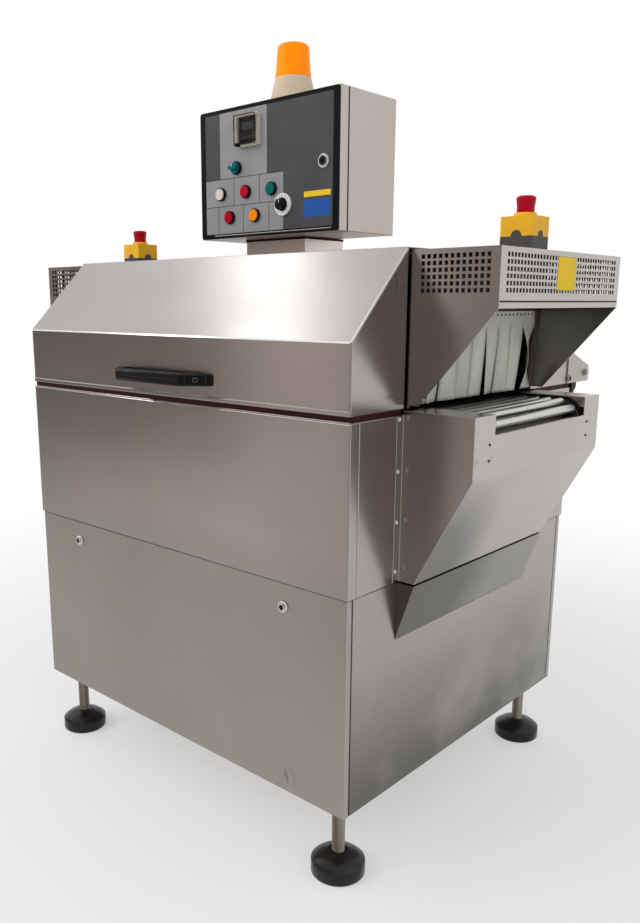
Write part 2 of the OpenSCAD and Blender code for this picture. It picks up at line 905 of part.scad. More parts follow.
module cover_skin() {
    color("#b0aaa4") from_front() difference() {
        across(-cover_half, 2 * cover_half) polygon([
            [-hem_t, upper_z],
            [cover_return, upper_z],
            [cover_return, upper_z + sheet],
            [sheet, upper_z + sheet],
            [sheet, bend_low],
            [bend_top, roof_top - sheet],
            [slope_run + cover_flange, roof_top - sheet],
            [slope_run + cover_flange, roof_top],
            [slope_run, roof_top],
            [0, band_top],
            [0, upper_z + hem_h],
            [-hem_t, upper_z + hem_h]
        ]);
        both_ends() slab(half_l - cover_gap, half_l, cheek_y, roof_y, roof_top - 2 * sheet, roof_top + over);
    }
}

module cover_ends() {
    color("#a19b95") from_front() both_ends() across(cover_half - sheet, sheet) polygon([
        [cover_return, upper_z],
        [cheek_y, upper_z],
        [cheek_y, roof_top - sheet],
        [bend_top, roof_top - sheet],
        [sheet, bend_low],
        [sheet, upper_z + sheet],
        [cover_return, upper_z + sheet]
    ]);
}

// The handle's section: depth along X, height along Y, with round front edges
module handle_section() {
    translate([handle_round, 0]) square([handle_bar_t - handle_round, handle_bar_h]);
    translate([0, handle_round]) square([handle_bar_t, handle_bar_h - 2 * handle_round]);
    for (z = [handle_round, handle_bar_h - handle_round]) translate([handle_round, z]) circle(handle_round);
}

// A straight run of the handle along X, its front face on Y = 0
module handle_run() {
    rotate([90, 0, 90]) linear_extrude(2 * handle_l, center = true) handle_section();
}

// The grip and its two legs meet at mitres
module cover_handle() {
    half = handle_l / 2;
    grip = handle_grip_l / 2;
    leg_a = atan2(handle_reach, half - grip);
    mitre = tan(leg_a / 2);
    inside = handle_bar_t + over;
    color("#1b1b1d") from_front() translate([0, 0, upper_z + handle_z - handle_bar_h / 2]) {
        intersection() {
            translate([0, -handle_reach, 0]) handle_run();
            linear_extrude(handle_bar_h) polygon([
                [-grip, -handle_reach],
                [grip, -handle_reach],
                [grip - inside * mitre, inside - handle_reach],
                [inside * mitre - grip, inside - handle_reach]
            ]);
        }
        both_ends() intersection() {
            translate([grip, -handle_reach, 0]) rotate([0, 0, leg_a]) handle_run();
            linear_extrude(handle_bar_h) polygon([
                [grip, -handle_reach],
                [half + handle_bar_t, -handle_reach],
                [half + handle_bar_t, 0],
                [grip - handle_reach * mitre, 0]
            ]);
        }
    }
}

// Control box on its column
module control_column() {
    x0 = box_x + column_x;
    y0 = box_y + column_y;
    color("#a9a49e") from_front() difference() {
        slab(x0, x0 + column_w, y0, y0 + column_d, roof_top, box_z);
        slab(x0 + sheet, x0 + column_w - sheet, y0 + sheet, y0 + column_d - sheet,
            roof_top - over, box_z + over);
    }
}

module control_box() {
    color("#bcb6ae") from_front() difference() {
        slab(box_x, box_right, box_front, box_back, box_z, box_z + box_h);
        slab(box_x + sheet, box_right - sheet, box_front - over, box_back - sheet,
            box_z + sheet, box_z + box_h - sheet);
    }
}

// Door hinges stand on the left side, pins upright
module upright_barrel(z0, z1, d) {
    translate([0, 0, z0]) cylinder(d = d, h = z1 - z0);
}

module door_leaf(z0, z1, y0, y1) {
    slab(barrel_d / 2 - leaf_t, barrel_d / 2, y0, y1, z0, z1);
}

module at_door_pins() {
    for (z = [door_hinge_z, box_h - door_hinge_z]) translate([door_pin_x, door_pin_y, box_z + z]) children();
}

module box_hinges() {
    half = barrel_l / 2;
    color("#8b8b88") from_front() at_door_pins() {
        for (z = [-half, half - knuckle]) {
            upright_barrel(z, z + knuckle, barrel_d);
            door_leaf(z, z + knuckle, 0, leaf_w + door_gap / 2);
        }
        upright_barrel(-half, half, pin_d);
    }
}

module door_hinges() {
    color("#8b8b88") from_front() at_door_pins() difference() {
        union() {
            upright_barrel(-knuckle / 2, knuckle / 2, barrel_d);
            door_leaf(-knuckle / 2, knuckle / 2, -leaf_w - door_gap / 2, 0);
        }
        upright_barrel(-knuckle, knuckle, pin_d + 2 * pin_play);
    }
}

module control_door() {
    color("#c2bcb4") from_front() difference() {
        slab(box_x, box_right, box_y, door_back, box_z, box_z + box_h);
        slab(box_x + sheet, box_right - sheet, box_y + sheet, door_back + over,
            box_z + sheet, box_z + box_h - sheet);
    }
}

module control_panel() {
    w = box_w - 2 * panel_rim;
    h = box_h - 2 * panel_rim;
    color("#4c4c50") from_front() upright(panel_y, panel_t)
        translate([box_x + panel_rim, box_z + panel_rim]) {
            translate([panel_round, 0]) square([w - 2 * panel_round, h]);
            translate([0, panel_round]) square([w, h - 2 * panel_round]);
            for (x = [panel_round, w - panel_round], z = [panel_round, h - panel_round])
                translate([x, z]) circle(panel_round);
        }
}

// Controls on the door
module instrument() {
    cover_w = meter_w - 2 * meter_step;
    cover_h = meter_h - 2 * meter_step;
    color("#26262a") from_front() on_panel(meter_at, 0) {
        translate([-meter_w / 2, -meter_h / 2, 0]) cube([meter_w, meter_h, meter_frame_t]);
        translate([-cover_w / 2, -cover_h / 2, 0]) cube([cover_w, cover_h, meter_t]);
    }
}

module control_bezels() {
    color("#c8c8c6") from_front() {
        for (at = [white_at, stop_at, start_at, reset_at, amber_at])
            on_panel(at, 0) ring(bezel_d, button_d + 2 * button_play, bezel_h);
        on_panel(selector_at, 0) cylinder(d = bezel_d, h = bezel_h);
        on_panel(dial_at, 0) cylinder(d = dial_d, h = dial_t);
    }
}

module pilot_lenses() {
    color("#e8dcc0") from_front() for (at = [white_at, amber_at])
        on_panel(at, 0) cylinder(d = button_d, h = bezel_h + button_proud);
}

// A button that its bezel guides, with room behind it to be pressed
module push_button(at) {
    on_panel(at, bezel_h + button_proud - button_t) cylinder(d = button_d, h = button_t);
}

module stop_button() {
    color("#a82a26") from_front() push_button(stop_at);
}

module start_button() {
    color("#1f8a55") from_front() push_button(start_at);
}

module reset_button() {
    color("#a82a26") from_front() push_button(reset_at);
}

module selector_knob() {
    color("#1d6f6a") from_front() on_panel(selector_at, bezel_h + seat) {
        cylinder(d = button_d, h = selector_foot_h);
        translate([-button_d / 2, -selector_grip_w / 2, 0]) cube([button_d, selector_grip_w, selector_h]);
    }
}

module dial_knob() {
    color("#161618") from_front() on_panel(dial_at, dial_t + seat) {
        cylinder(d = knob_d, h = knob_skirt_h);
        cylinder(d1 = knob_d - 2 * knob_step, d2 = knob_d - 2 * knob_step - knob_taper, h = knob_h);
    }
}

module door_lock() {
    color("#c4c4c2") from_front() on_panel(lock_at, 0) difference() {
        union() {
            cylinder(d = lock_d, h = lock_flange_t);
            cylinder(d = lock_core_d, h = lock_h);
        }
        translate([0, 0, lock_h - lock_key_depth])
            cylinder(d = lock_key_d, h = lock_key_depth + over, $fn = 3);
    }
}

// Beacon on the box
module at_beacon() {
    translate([box_x + beacon_x, box_y + beacon_y, box_z + box_h]) children();
}

module beacon_foot() {
    color("#cfc4a4") from_front() at_beacon() rotate_extrude() polygon([
        [0, 0],
        [beacon_foot_d / 2, 0],
        [beacon_foot_d / 2, beacon_rim_h],
        [lens_d / 2 + lens_step, beacon_foot_h],
        [0, beacon_foot_h]
    ]);
}

module beacon_lens() {
    r1 = lens_d / 2;
    r2 = (lens_d - lens_taper) / 2;
    color("#ff8c10") from_front() at_beacon() translate([0, 0, beacon_foot_h]) rotate_extrude() polygon([
        [0, 0],
        [r1, 0],
        [r2, lens_h - lens_round],
        for (a = [15 : 15 : 90]) [r2 - lens_round * (1 - cos(a)), lens_h - lens_round * (1 - sin(a))],
        [0, lens_h]
    ]);
}

// Stop boxes on the guards
module at_stop_box() {
    translate([stop_x, mid_y - stop_box_y, 0]) children();
}

// Round bars along both middle lines of a stop box, which end in the bumps on its sides
module cable_entries(r, reach) {
    translate([0, 0, stop_cover_z]) {
        rotate([90, 0, 0]) cylinder(r = r, h = stop_box_d + 2 * reach, center = true);
        rotate([0, 90, 0]) cylinder(r = r, h = stop_box_w + 2 * reach, center = true);
    }
}

module stop_bases() {
    color("#55585a") from_front() both_ends() at_stop_box() {
        slab(-stop_box_w / 2, stop_box_w / 2, -stop_box_d / 2, stop_box_d / 2, guard_top, stop_cover_z);
        cable_entries(bump_r, 0);
    }
}

module stop_covers() {
    color("#e8b01f") from_front() both_ends() at_stop_box() {
        difference() {
            slab(-stop_box_w / 2, stop_box_w / 2, -stop_box_d / 2, stop_box_d / 2, stop_cover_z, stop_top);
            cable_entries(bump_r + seat, over);
        }
        translate([0, 0, stop_top]) ring(collar_d, mushroom_foot_d + 2 * button_play, collar_h);
    }
}

module mushroom() {
    at_stop_box() translate([0, 0, mushroom_z]) rotate_extrude() polygon([
        [0, 0],
        [mushroom_foot_d / 2, 0],
        [mushroom_foot_d / 2, mushroom_neck_h],
        [mushroom_d / 2, mushroom_h - mushroom_bevel_h - mushroom_rim_h],
        [mushroom_d / 2, mushroom_h - mushroom_bevel_h],
        [mushroom_d / 2 - mushroom_bevel_w, mushroom_h],
        [0, mushroom_h]
    ]);
}

module right_stop_button() {
    color("#a8302c") from_front() mushroom();
}

module left_stop_button() {
    color("#a8302c") from_front() mirror([1, 0, 0]) mushroom();
}

foot_pads();
foot_spindles();
base_frame();
base_front_panel();
base_rear_panel();
base_end_panels();
tank_front_wall();
tank_rear_wall();
tank_end_walls();
tank_floor();
gasket();
chute_sides();
chute_end_plates();
drip_deflectors();
conveyor_rods();
conveyor_chains();
chain_guides();
conveyor_shafts();
upper_end_walls();
upper_rear_wall();
upper_roof();
roof_hinges();
guard_front_plates();
guard_rear_plates();
guard_end_plates();
guard_tops();
right_curtain();
left_curtain();
rear_brackets();
rear_stops();
cover_skin();
cover_ends();
cover_handle();
cover_hinges();
control_column();
control_box();
box_hinges();
control_door();
control_panel();
door_hinges();
instrument();
control_bezels();
pilot_lenses();
stop_button();
start_button();
reset_button();
selector_knob();
dial_knob();
door_lock();
beacon_foot();
beacon_lens();
stop_bases();
stop_covers();
right_stop_button();
left_stop_button();
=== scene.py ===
"""Finish of a heat shrink tunnel: materials, curtains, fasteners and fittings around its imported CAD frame."""

import math
import random

import bmesh
import bpy
from bpy.props import FloatProperty, FloatVectorProperty, IntProperty, PointerProperty
from bpy.types import NodeSocket, Operator, Panel, PropertyGroup
from mathutils import Matrix, Vector


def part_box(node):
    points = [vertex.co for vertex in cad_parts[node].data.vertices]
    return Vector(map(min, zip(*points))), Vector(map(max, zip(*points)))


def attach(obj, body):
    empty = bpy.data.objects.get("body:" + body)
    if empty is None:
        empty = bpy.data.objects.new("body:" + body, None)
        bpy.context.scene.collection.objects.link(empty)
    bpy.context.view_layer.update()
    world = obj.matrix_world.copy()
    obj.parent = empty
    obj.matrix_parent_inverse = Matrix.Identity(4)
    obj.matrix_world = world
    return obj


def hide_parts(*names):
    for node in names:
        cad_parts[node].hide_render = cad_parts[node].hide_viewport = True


bl_info = {
    "name": "Heat shrink tunnel finish",
    "version": (1, 0, 0),
    "blender": (4, 5, 0),
    "location": "3D View > Sidebar > Shrink tunnel",
    "description": "Dresses the packed heat shrink tunnel with its finishes, curtains and small fittings",
    "category": "Object",
}

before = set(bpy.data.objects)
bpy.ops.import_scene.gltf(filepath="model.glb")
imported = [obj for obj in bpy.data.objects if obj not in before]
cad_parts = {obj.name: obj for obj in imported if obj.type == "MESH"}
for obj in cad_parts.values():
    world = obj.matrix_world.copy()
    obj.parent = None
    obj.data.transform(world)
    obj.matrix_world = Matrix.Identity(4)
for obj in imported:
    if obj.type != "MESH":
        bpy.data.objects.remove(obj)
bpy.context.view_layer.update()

SMOOTH_ANGLE = math.radians(35)
BEVEL_ANGLE = math.radians(40)
WELD_DISTANCE = 0.00001
SIDES = (1, -1)
CURTAINS = ("right_curtain", "left_curtain")
X_AXIS, Y_AXIS, Z_AXIS = (1.0, 0.0, 0.0), (0.0, 1.0, 0.0), (0.0, 0.0, 1.0)
# Pilot lens, reach of the dial plate and insert of the lock, which share a node with other colours
PILOT_D = 0.026
DIAL_REACH = 0.0265
LOCK_INSERT_R = 0.0098
# Lower front corner of the right chute, from which painted shade spreads, with its radius and blur on the chute
# and on the deflector
CHUTE_CORNER = (0.53, -0.32, 0.60)
CHUTE_SHADE = (0.14, 0.12)
DEFLECTOR_SHADE = (0.22, 0.14)
# Run-down stains low on the base front panel: place, and radius and blur
DRIPS = (0.357, -0.455, 0.200)
DRIP_REACH = (0.012, 0.016)
# Where on their patterns the smudges, the blots of dirt and the drips start and are full
SMUDGE_SPAN, BLOT_SPAN, DRIP_SPAN = (0.40, 0.70), (0.28, 0.58), (0.50, 0.68)
# Smudges of old glue on the right chute: blur, then place and radius
SMUDGE_BLUR = 0.006
GLUE_SMUDGES = (
    ((0.650, -0.291, 0.852), 0.006),
    ((0.650, -0.262, 0.853), 0.004),
    ((0.650, -0.242, 0.855), 0.003),
)
# Heights over which dirt grows on the base ends, and painted shade on the guards' rear plates and the end walls
DIRT_SPAN = (0.46, 0.19)
REAR_SHADE_SPAN = (1.11, 1.13)
WALL_SHADE_SPAN = (1.112, 1.128)
# Distance from the middle over which the conveyor's rods turn dark: painted shade inside the tunnel
ROD_SHADE_SPAN = (0.59, 0.51)
GUARD_MIDDLE_Z = 1.1
# Distance from a middle plane, along a face's normal, over which a face comes to count as an inner one
INNER_SPAN = (-0.01, -0.03)
# Height of the bend in the cover, and where its slope ends at the top
COVER_BEND_Z = 1.062
COVER_TOP_Y = -0.2985
# Widths of the broken edges on sheet, thin sheet, the control box and small fittings
SHEET_EDGE, THIN_EDGE, BOX_EDGE, SMALL_EDGE = 0.0009, 0.0006, 0.0012, 0.0004
BUTTON_EDGE, KNOB_EDGE, PAD_EDGE = 0.0018, 0.0005, 0.0015
# A Mix node's sockets for colours
MIX_UNDER, MIX_OVER, MIX_RESULT = 6, 7, 2
# Where on a pattern the darker tone ends and the lighter one starts, and the same for the roughness
TONE_LOW, TONE_HIGH = 0.35, 0.65
GLOSS_LOW, GLOSS_HIGH = 0.3, 0.7
# Cycles in a metre of the brush marks and the wiped clouds, by the axis that the sheet was brushed along
GRAIN = {"x": (5, 900, 900), "y": (900, 5, 900), "z": (900, 900, 5)}
WIPE = {"x": (1.5, 9, 9), "y": (9, 1.5, 9), "z": (9, 9, 1.5)}
# Grey of the flag across the stage, low down and from mid height on: place in metres and level
FLAG_LOW = (
    (-3.6, 0.40), (-2.95, 0.47), (-2.48, 0.66), (-2.1, 0.76), (-1.65, 0.84), (-0.94, 0.86), (-0.66, 0.88),
    (-0.50, 0.52), (-0.40, 0.43), (0.6, 0.42), (1.2, 0.50), (1.45, 0.50), (1.6, 0.44), (2.6, 0.44),
)
FLAG_HIGH = (
    (-3.6, 0.18), (-2.95, 0.19), (-2.6, 0.23), (-2.1, 0.25), (-1.55, 0.31), (-1.42, 0.38), (-1.22, 0.76),
    (-0.66, 0.74), (-0.50, 0.42), (-0.40, 0.36), (-0.27, 0.28), (0.6, 0.28), (1.2, 0.42), (1.5, 0.42),
    (1.6, 0.36), (2.6, 0.36),
)
FLAG_MID = (0.14, 0.56)
APRON_GRADE = (-1.9, -0.9)


def number(name, description, default, **kind):
    """A number of some kind."""
    return FloatProperty(name=name, description=description, default=default, **kind)


def length(name, description, default):
    """A size in metres."""
    return number(name, description, default, unit="LENGTH", precision=4)


def share(name, description, default):
    """A number from 0 to 1."""
    return number(name, description, default, subtype="FACTOR", min=0.0, max=1.0)


def power(name, description, default):
    """The power of a lamp in watts."""
    return number(name, description, default, unit="POWER")


def turn(name, description, degrees):
    """An angle."""
    return number(name, description, math.radians(degrees), unit="ROTATION")


def colour(name, description, *parts):
    """A linear colour."""
    return FloatVectorProperty(
        name=name, description=description, default=parts, subtype="COLOR", min=0.0, max=1.0
    )


def paint(name, description, *parts):
    """A colour of the part, from display levels of 0 to 255."""
    levels = (part / 255 for part in parts)
    linear = (p / 12.92 if p <= 0.04045 else ((p + 0.055) / 1.055) ** 2.4 for p in levels)
    return colour(name, description, *linear)


class StageSettings(PropertyGroup):
    """Camera, floor and lamps."""

    camera_place: FloatVectorProperty(
        name="Camera place",
        description="Where the camera stands",
        default=(1.378, -1.5835, 1.128),
        subtype="TRANSLATION",
        unit="LENGTH",
    )
    camera_tilt: turn("Camera tilt", "Turn up from looking straight down", 77.9)
    camera_heading: turn("Camera heading", "Turn about the upright axis", 42.9)
    camera_lens: number("Lens", "Focal length of the camera", 32.7, unit="CAMERA")
    camera_shift: FloatVectorProperty(
        name="Shift", description="Shift of the picture in its frame", default=(0.0445, 0.0224), size=2
    )
    floor_colour: colour("Floor", "Colour of the pale floor", 0.80, 0.80, 0.80)
    floor_size: length("Floor radius", "Radius of the round floor", 9.0)
    floor_near: length("Floor fade start", "Distance at which the floor starts to fade to white", 0.9)
    floor_far: length("Floor fade end", "Distance at which the floor is plain white", 3.0)
    floor_glow: share("Floor white", "Share of plain white in the floor near the part", 0.42)
    sky_colour: colour("Sky", "Colour of the soft light from all sides", 0.97, 0.98, 1.0)
    sky_level: number("Sky level", "Strength of the soft light", 0.78)
    key_power: power("Key lamp", "Power of the high lamp", 12.5)
    strip_power: power("Strip lamp", "Power of the long lamp over the flag", 8.0)
    fill_power: power("Fill lamp", "Power of the side lamp", 8.0)
    front_power: power("Front lamp", "Power of the front lamp", 70.0)
    apron_far: colour("Apron far", "Colour of the apron in front, away from the part", 0.60, 0.58, 0.555)
    apron_near: colour("Apron near", "Colour of the apron next to the part", 0.71, 0.685, 0.66)
    flag_low: colour("Flag low", "Tint of the graded studio flag in front, low down", 1.0, 0.935, 0.90)
    flag_high: colour("Flag high", "Tint of the flag from mid height on", 1.0, 0.88, 0.81)


class SteelSettings(PropertyGroup):
    """Colours and gloss of the bare metals."""

    casing: paint("Casing", "Brushed sheet of the casing", 172, 167, 164)
    base: paint("Base", "Brushed sheet of the base cabinet", 168, 164, 160)
    # Grime is dirt on the base ends, and painted shade on the chutes, the deflectors and the guards' rear plates
    grime_and_shade: paint("Grime and shade", "Film of dirt low on the base's ends and the chutes", 116, 113, 108)
    # Painted shade inside the guards and on the rods in the tunnel, for the dark there
    inner_shade: paint("Inner shade", "Heat stain inside the guards", 62, 58, 55)
    guard: paint("Guard", "Sheet of the guards and chutes", 181, 176, 172)
    # A darker copy of the guards' sheet: painted shade, as the deflectors face down into the shade under the
    # chutes
    deflector: paint("Deflector", "Duller sheet of the drip deflectors", 150, 147, 142)
    housing: paint("Housing", "Sheet of the frame and the tank's floor", 168, 164, 160)
    cabinet: paint("Cabinet", "Sheet of the control box", 183, 175, 168)
    zinc: paint("Zinc", "Dull zinc of the rear brackets and hinges", 176, 173, 166)
    thread: paint("Thread", "Worn thread of the levelling spindles", 150, 142, 130)
    tube: paint("Tube", "Worn tube of the conveyor rods", 205, 204, 200)
    chain: paint("Chain", "Oiled chain and shafts", 92, 90, 88)
    bright: paint("Bright", "Bright screws and bezels", 220, 219, 216)
    gloss: share("Roughness", "Roughness of the brushed sheet", 0.24)
    bend: length("Bend radius", "Radius at which the bends of the sheet catch the light", 0.0035)


class PlasticSettings(PropertyGroup):
    """Colours of the mouldings, lenses and seals."""

    black: paint("Black", "Handle, knob and bezels", 15, 14, 17)
    grey: paint("Grey", "Bases of the stop boxes", 78, 76, 75)
    yellow: paint("Yellow", "Covers of the stop boxes", 238, 180, 32)
    red: paint("Red", "Stop and reset buttons", 172, 4, 32)
    green: paint("Green", "Start button", 2, 98, 92)
    teal: paint("Teal", "Selector", 4, 98, 100)
    white: paint("White", "White pilot lens", 214, 206, 190)
    amber: paint("Amber", "Amber pilot lens and beacon", 255, 138, 0)
    beige: paint("Beige", "Foot of the beacon", 208, 190, 164)
    plate: paint("Plate", "Plain plates on the guard ends", 228, 192, 34)
    silver: paint("Silver", "Frame of the instrument", 204, 199, 189)
    seal: paint("Seal", "Dark red silicone seals", 46, 6, 11)
    film: paint("Film", "Dark field of the panel film", 74, 73, 76)
    film_light: paint("Film light", "Lighter fields of the panel film", 142, 141, 141)
    film_edge: paint("Film edge", "Black border of the panel film", 12, 12, 14)
    # The pale line is a painted highlight along the border's lower edge
    film_line: paint("Film line", "Pale line over the border's lower edge", 222, 222, 220)
    film_blue: paint("Film blue", "Blue bar of the panel film", 30, 84, 158)
    film_yellow: paint("Film yellow", "Yellow bar of the panel film", 232, 194, 34)


class CurtainSettings(PropertyGroup):
    """Strip curtains in the two mouths."""

    strips: IntProperty(name="Strips", description="Number of strips in a curtain", default=9, min=2)
    slit: length("Slit", "Width of the cut between two strips", 0.002)
    head: length("Head", "Height of the uncut head", 0.038)
    thickness: length("Thickness", "Thickness of the coated cloth", 0.0012)
    swing: length("Swing", "How far the lower ends hang into the mouth", 0.004)
    lean: length("Lean", "How far all lower ends drift to the operator's side", 0.005)
    wander: length("Wander", "Most that a lower end moves to one side", 0.005)
    twist: turn("Twist", "Most that a strip turns on its way down", 16)
    curl: turn("Curl", "Turn of the last strip at half its height", -33)
    seed: IntProperty(name="Seed", description="Seed of the strips' own bends", default=11)
    cloth: paint("Cloth", "Coated cloth", 232, 226, 211)
    rivet_pitch: length("Rivet pitch", "Distance between two rivets in the head", 0.017)
    rivet_d: length("Rivet diameter", "Diameter of a rivet head", 0.005)
    rivet_drop: length("Rivet drop", "Distance of the rivets from the head's upper edge", 0.0115)
    rail_h: length("Rail height", "Height of the clamp rail", 0.009)
    rail_lap: length("Rail lap", "How far the rail laps over the head", 0.004)
    rail_t: length("Rail thickness", "Thickness of the clamp rail", 0.0035)


class FastenerSettings(PropertyGroup):
    """Screws and bolts that show."""

    lock_d: length("Panel fastener", "Diameter of the fasteners in the base panels", 0.025)
    lock_x: length("Panel fastener place", "Distance of these from the middle", 0.341)
    lock_z: length("Panel fastener height", "Height of these above the floor", 0.5535)
    flange_d: length("Flange screw", "Diameter of the screws in the chute flanges", 0.0085)
    plate_d: length("Plate screw", "Diameter of the small screws in the chute end plates", 0.0055)
    bolt_d: length("Bracket bolt", "Width of the bolt in a rear bracket", 0.013)
    eye_d: length("Bracket eye", "Diameter of the ring in a rear bracket", 0.018)
    toe_d: length("Toe bolt", "Width of the bolts in the guards' lower tips", 0.006)


class PanelSettings(PropertyGroup):
    """Film, instrument and marks on the control panel."""

    side_border: length("Side border", "Width of the black border at the sides", 0.018)
    top_border: length("Top border", "Width of the black border at the top", 0.009)
    low_border: length("Low border", "Width of the black border at the bottom", 0.011)
    film_t: length("Film thickness", "Thickness of the panel film", 0.0003)
    line_w: length("Line width", "Width of the lines between the film's fields", 0.0012)
    mark_w: length("Mark width", "Width of a mark on a knob", 0.0016)
    tick_low: length("Tick start", "Radius at which the dial's ticks start", 0.0178)
    tick_high: length("Tick end", "Radius at which the dial's ticks end", 0.0222)


GROUPS = {
    "tunnel_stage": StageSettings,
    "tunnel_steel": SteelSettings,
    "tunnel_plastic": PlasticSettings,
    "tunnel_curtain": CurtainSettings,
    "tunnel_fasteners": FastenerSettings,
    "tunnel_panel": PanelSettings,
}


class Shape:
    """Faces of one piece, gathered in the frame's metres."""

    def __init__(self):
        self.mesh = bmesh.new()
        self.finish = 0

    def face(self, corners):
        """Adds one face in the current finish."""
        self.mesh.faces.new(corners).material_index = self.finish

    def rows(self, rows, wrap=False):
        """Joins rows of points into quads and gives their corners; wrap closes each row."""
        made = [[self.mesh.verts.new(point) for point in row] for row in rows]
        for low, high in zip(made, made[1:]):
            count = len(low)
            for i in range(count if wrap else count - 1):
                j = (i + 1) % count
                self.face((low[i], low[j], high[j], high[i]))
        return made

    def solid(self, rows):
        """Joins closed rows of points into a solid with flat ends."""
        made = self.rows(rows, wrap=True)
        self.face(list(reversed(made[0])))
        self.face(made[-1])

    def weld(self):
        """Joins corners at the same place."""
        bmesh.ops.remove_doubles(self.mesh, verts=self.mesh.verts, dist=WELD_DISTANCE)

    def revolve(self, profile, place, steps=32, hexed=()):
        """Turns (radius, height) points about local Z; points listed in hexed follow a hexagon."""
        rows = []
        for index, (radius, height) in enumerate(profile):
            row = []
            for step in range(steps):
                angle = math.tau * step / steps
                reach = radius
                if index in hexed:
                    reach = radius / math.cos(angle % (math.pi / 3) - math.pi / 6)
                row.append(place @ Vector((reach * math.cos(angle), reach * math.sin(angle), height)))
            rows.append(row)
        self.solid(rows)

    def prism(self, outline, low, high, place=Matrix()):
        """Extrudes an (x, y) outline along local Z."""
        self.solid([[place @ Vector((x, y, z)) for x, y in outline] for z in (low, high)])

    def slab(self, low, high):
        """A block between two corners."""
        self.prism(rectangle(low[0], high[0], low[1], high[1]), low[2], high[2])

    def frame(self, outer, inner, low, high, place=Matrix()):
        """A rim between two outlines with the same number of points."""
        around = [(outer, low), (outer, high), (inner, high), (inner, low), (outer, low)]
        self.rows([[place @ Vector((x, y, z)) for x, y in outline] for outline, z in around], wrap=True)
        self.weld()


def rectangle(left, right, bottom, top):
    """Outline of a rectangle."""
    return [(left, bottom), (right, bottom), (right, top), (left, top)]


def rounded(width, height, radius, middle=(0.0, 0.0), steps=5):
    """Outline of a rectangle with round corners."""
    points = []
    for quarter, (sx, sy) in enumerate(((1, 1), (-1, 1), (-1, -1), (1, -1))):
        for step in range(steps + 1):
            angle = (quarter + step / steps) * math.pi / 2
            x = middle[0] + sx * (width / 2 - radius) + radius * math.cos(angle)
            y = middle[1] + sy * (height / 2 - radius) + radius * math.sin(angle)
            points.append((x, y))
    return points


def facing(point, normal):
    """Puts local Z along a normal at a point."""
    return Matrix.Translation(point) @ Vector(normal).to_track_quat("Z", "Y").to_matrix().to_4x4()


def on_end(side, x, y, z):
    """A place that looks out at one end of the part, so far from its middle."""
    return facing((side * x, y, z), (side, 0, 0))


def on_front(low, high, y):
    """The middle of a box, seen by the operator at some depth: local X to the right, local Y up."""
    middle = ((low.x + high.x) / 2, y, (low.z + high.z) / 2)
    return Matrix.Translation(middle) @ Matrix.Rotation(math.pi / 2, 4, "X")


def finish_called(name):
    """A finish that the first operator mixed."""
    if name not in bpy.data.materials:
        raise RuntimeError(f"the finish {name} is not mixed yet")
    return bpy.data.materials[name]


def break_edges(made, width):
    """Rounds the sharp edges of an object a little, so that they catch the light."""
    bevel = made.modifiers.new("Broken edges", "BEVEL")
    bevel.width = width
    bevel.segments = 2
    bevel.limit_method = "ANGLE"
    bevel.angle_limit = BEVEL_ANGLE
    bevel.harden_normals = True


def piece(name, shape, body, slot, *finishes, edge=0.0):
    """Turns a shape into an object that rides on a body and takes the finishes given; the record slot is not
    used.
    """
    bmesh.ops.recalc_face_normals(shape.mesh, faces=shape.mesh.faces)
    mesh = bpy.data.meshes.new(name)
    shape.mesh.to_mesh(mesh)
    shape.mesh.free()
    for finish in finishes:
        mesh.materials.append(finish_called(finish))
    mesh.shade_smooth()
    mesh.set_sharp_from_angle(angle=SMOOTH_ANGLE)
    made = bpy.data.objects.new(name, mesh)
    bpy.context.scene.collection.objects.link(made)
    if edge:
        break_edges(made, edge)
    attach(made, body)
    return made


def dress(*rows):
    """Gives CAD nodes their finishes: rows of a finish, the width of broken edges or 0, and the nodes."""
    for finish, edge, *names in rows:
        for name in names:
            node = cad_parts[name]
            node.data.materials.clear()
            node.data.materials.append(finish_called(finish))
            if edge:
                weld = node.modifiers.new("Joined corners", "WELD")
                weld.merge_threshold = WELD_DISTANCE
                break_edges(node, edge)


def shade(rgb, factor=1.0):
    """A colour made darker or lighter, with full cover."""
    return tuple(min(1.0, part * factor) for part in rgb[:3]) + (1.0,)


def even(cycles):
    """The same number of cycles along all three axes."""
    return (cycles, cycles, cycles)


def add_node(tree, kind, output, inputs, **settings):
    """Adds a shader node, links or sets its inputs, and gives one of its outputs."""
    made = tree.nodes.new(kind)
    for name, value in settings.items():
        setattr(made, name, value)
    for socket, value in inputs.items():
        if isinstance(value, NodeSocket):
            tree.links.new(value, made.inputs[socket])
        else:
            made.inputs[socket].default_value = value
    return made.outputs[output]


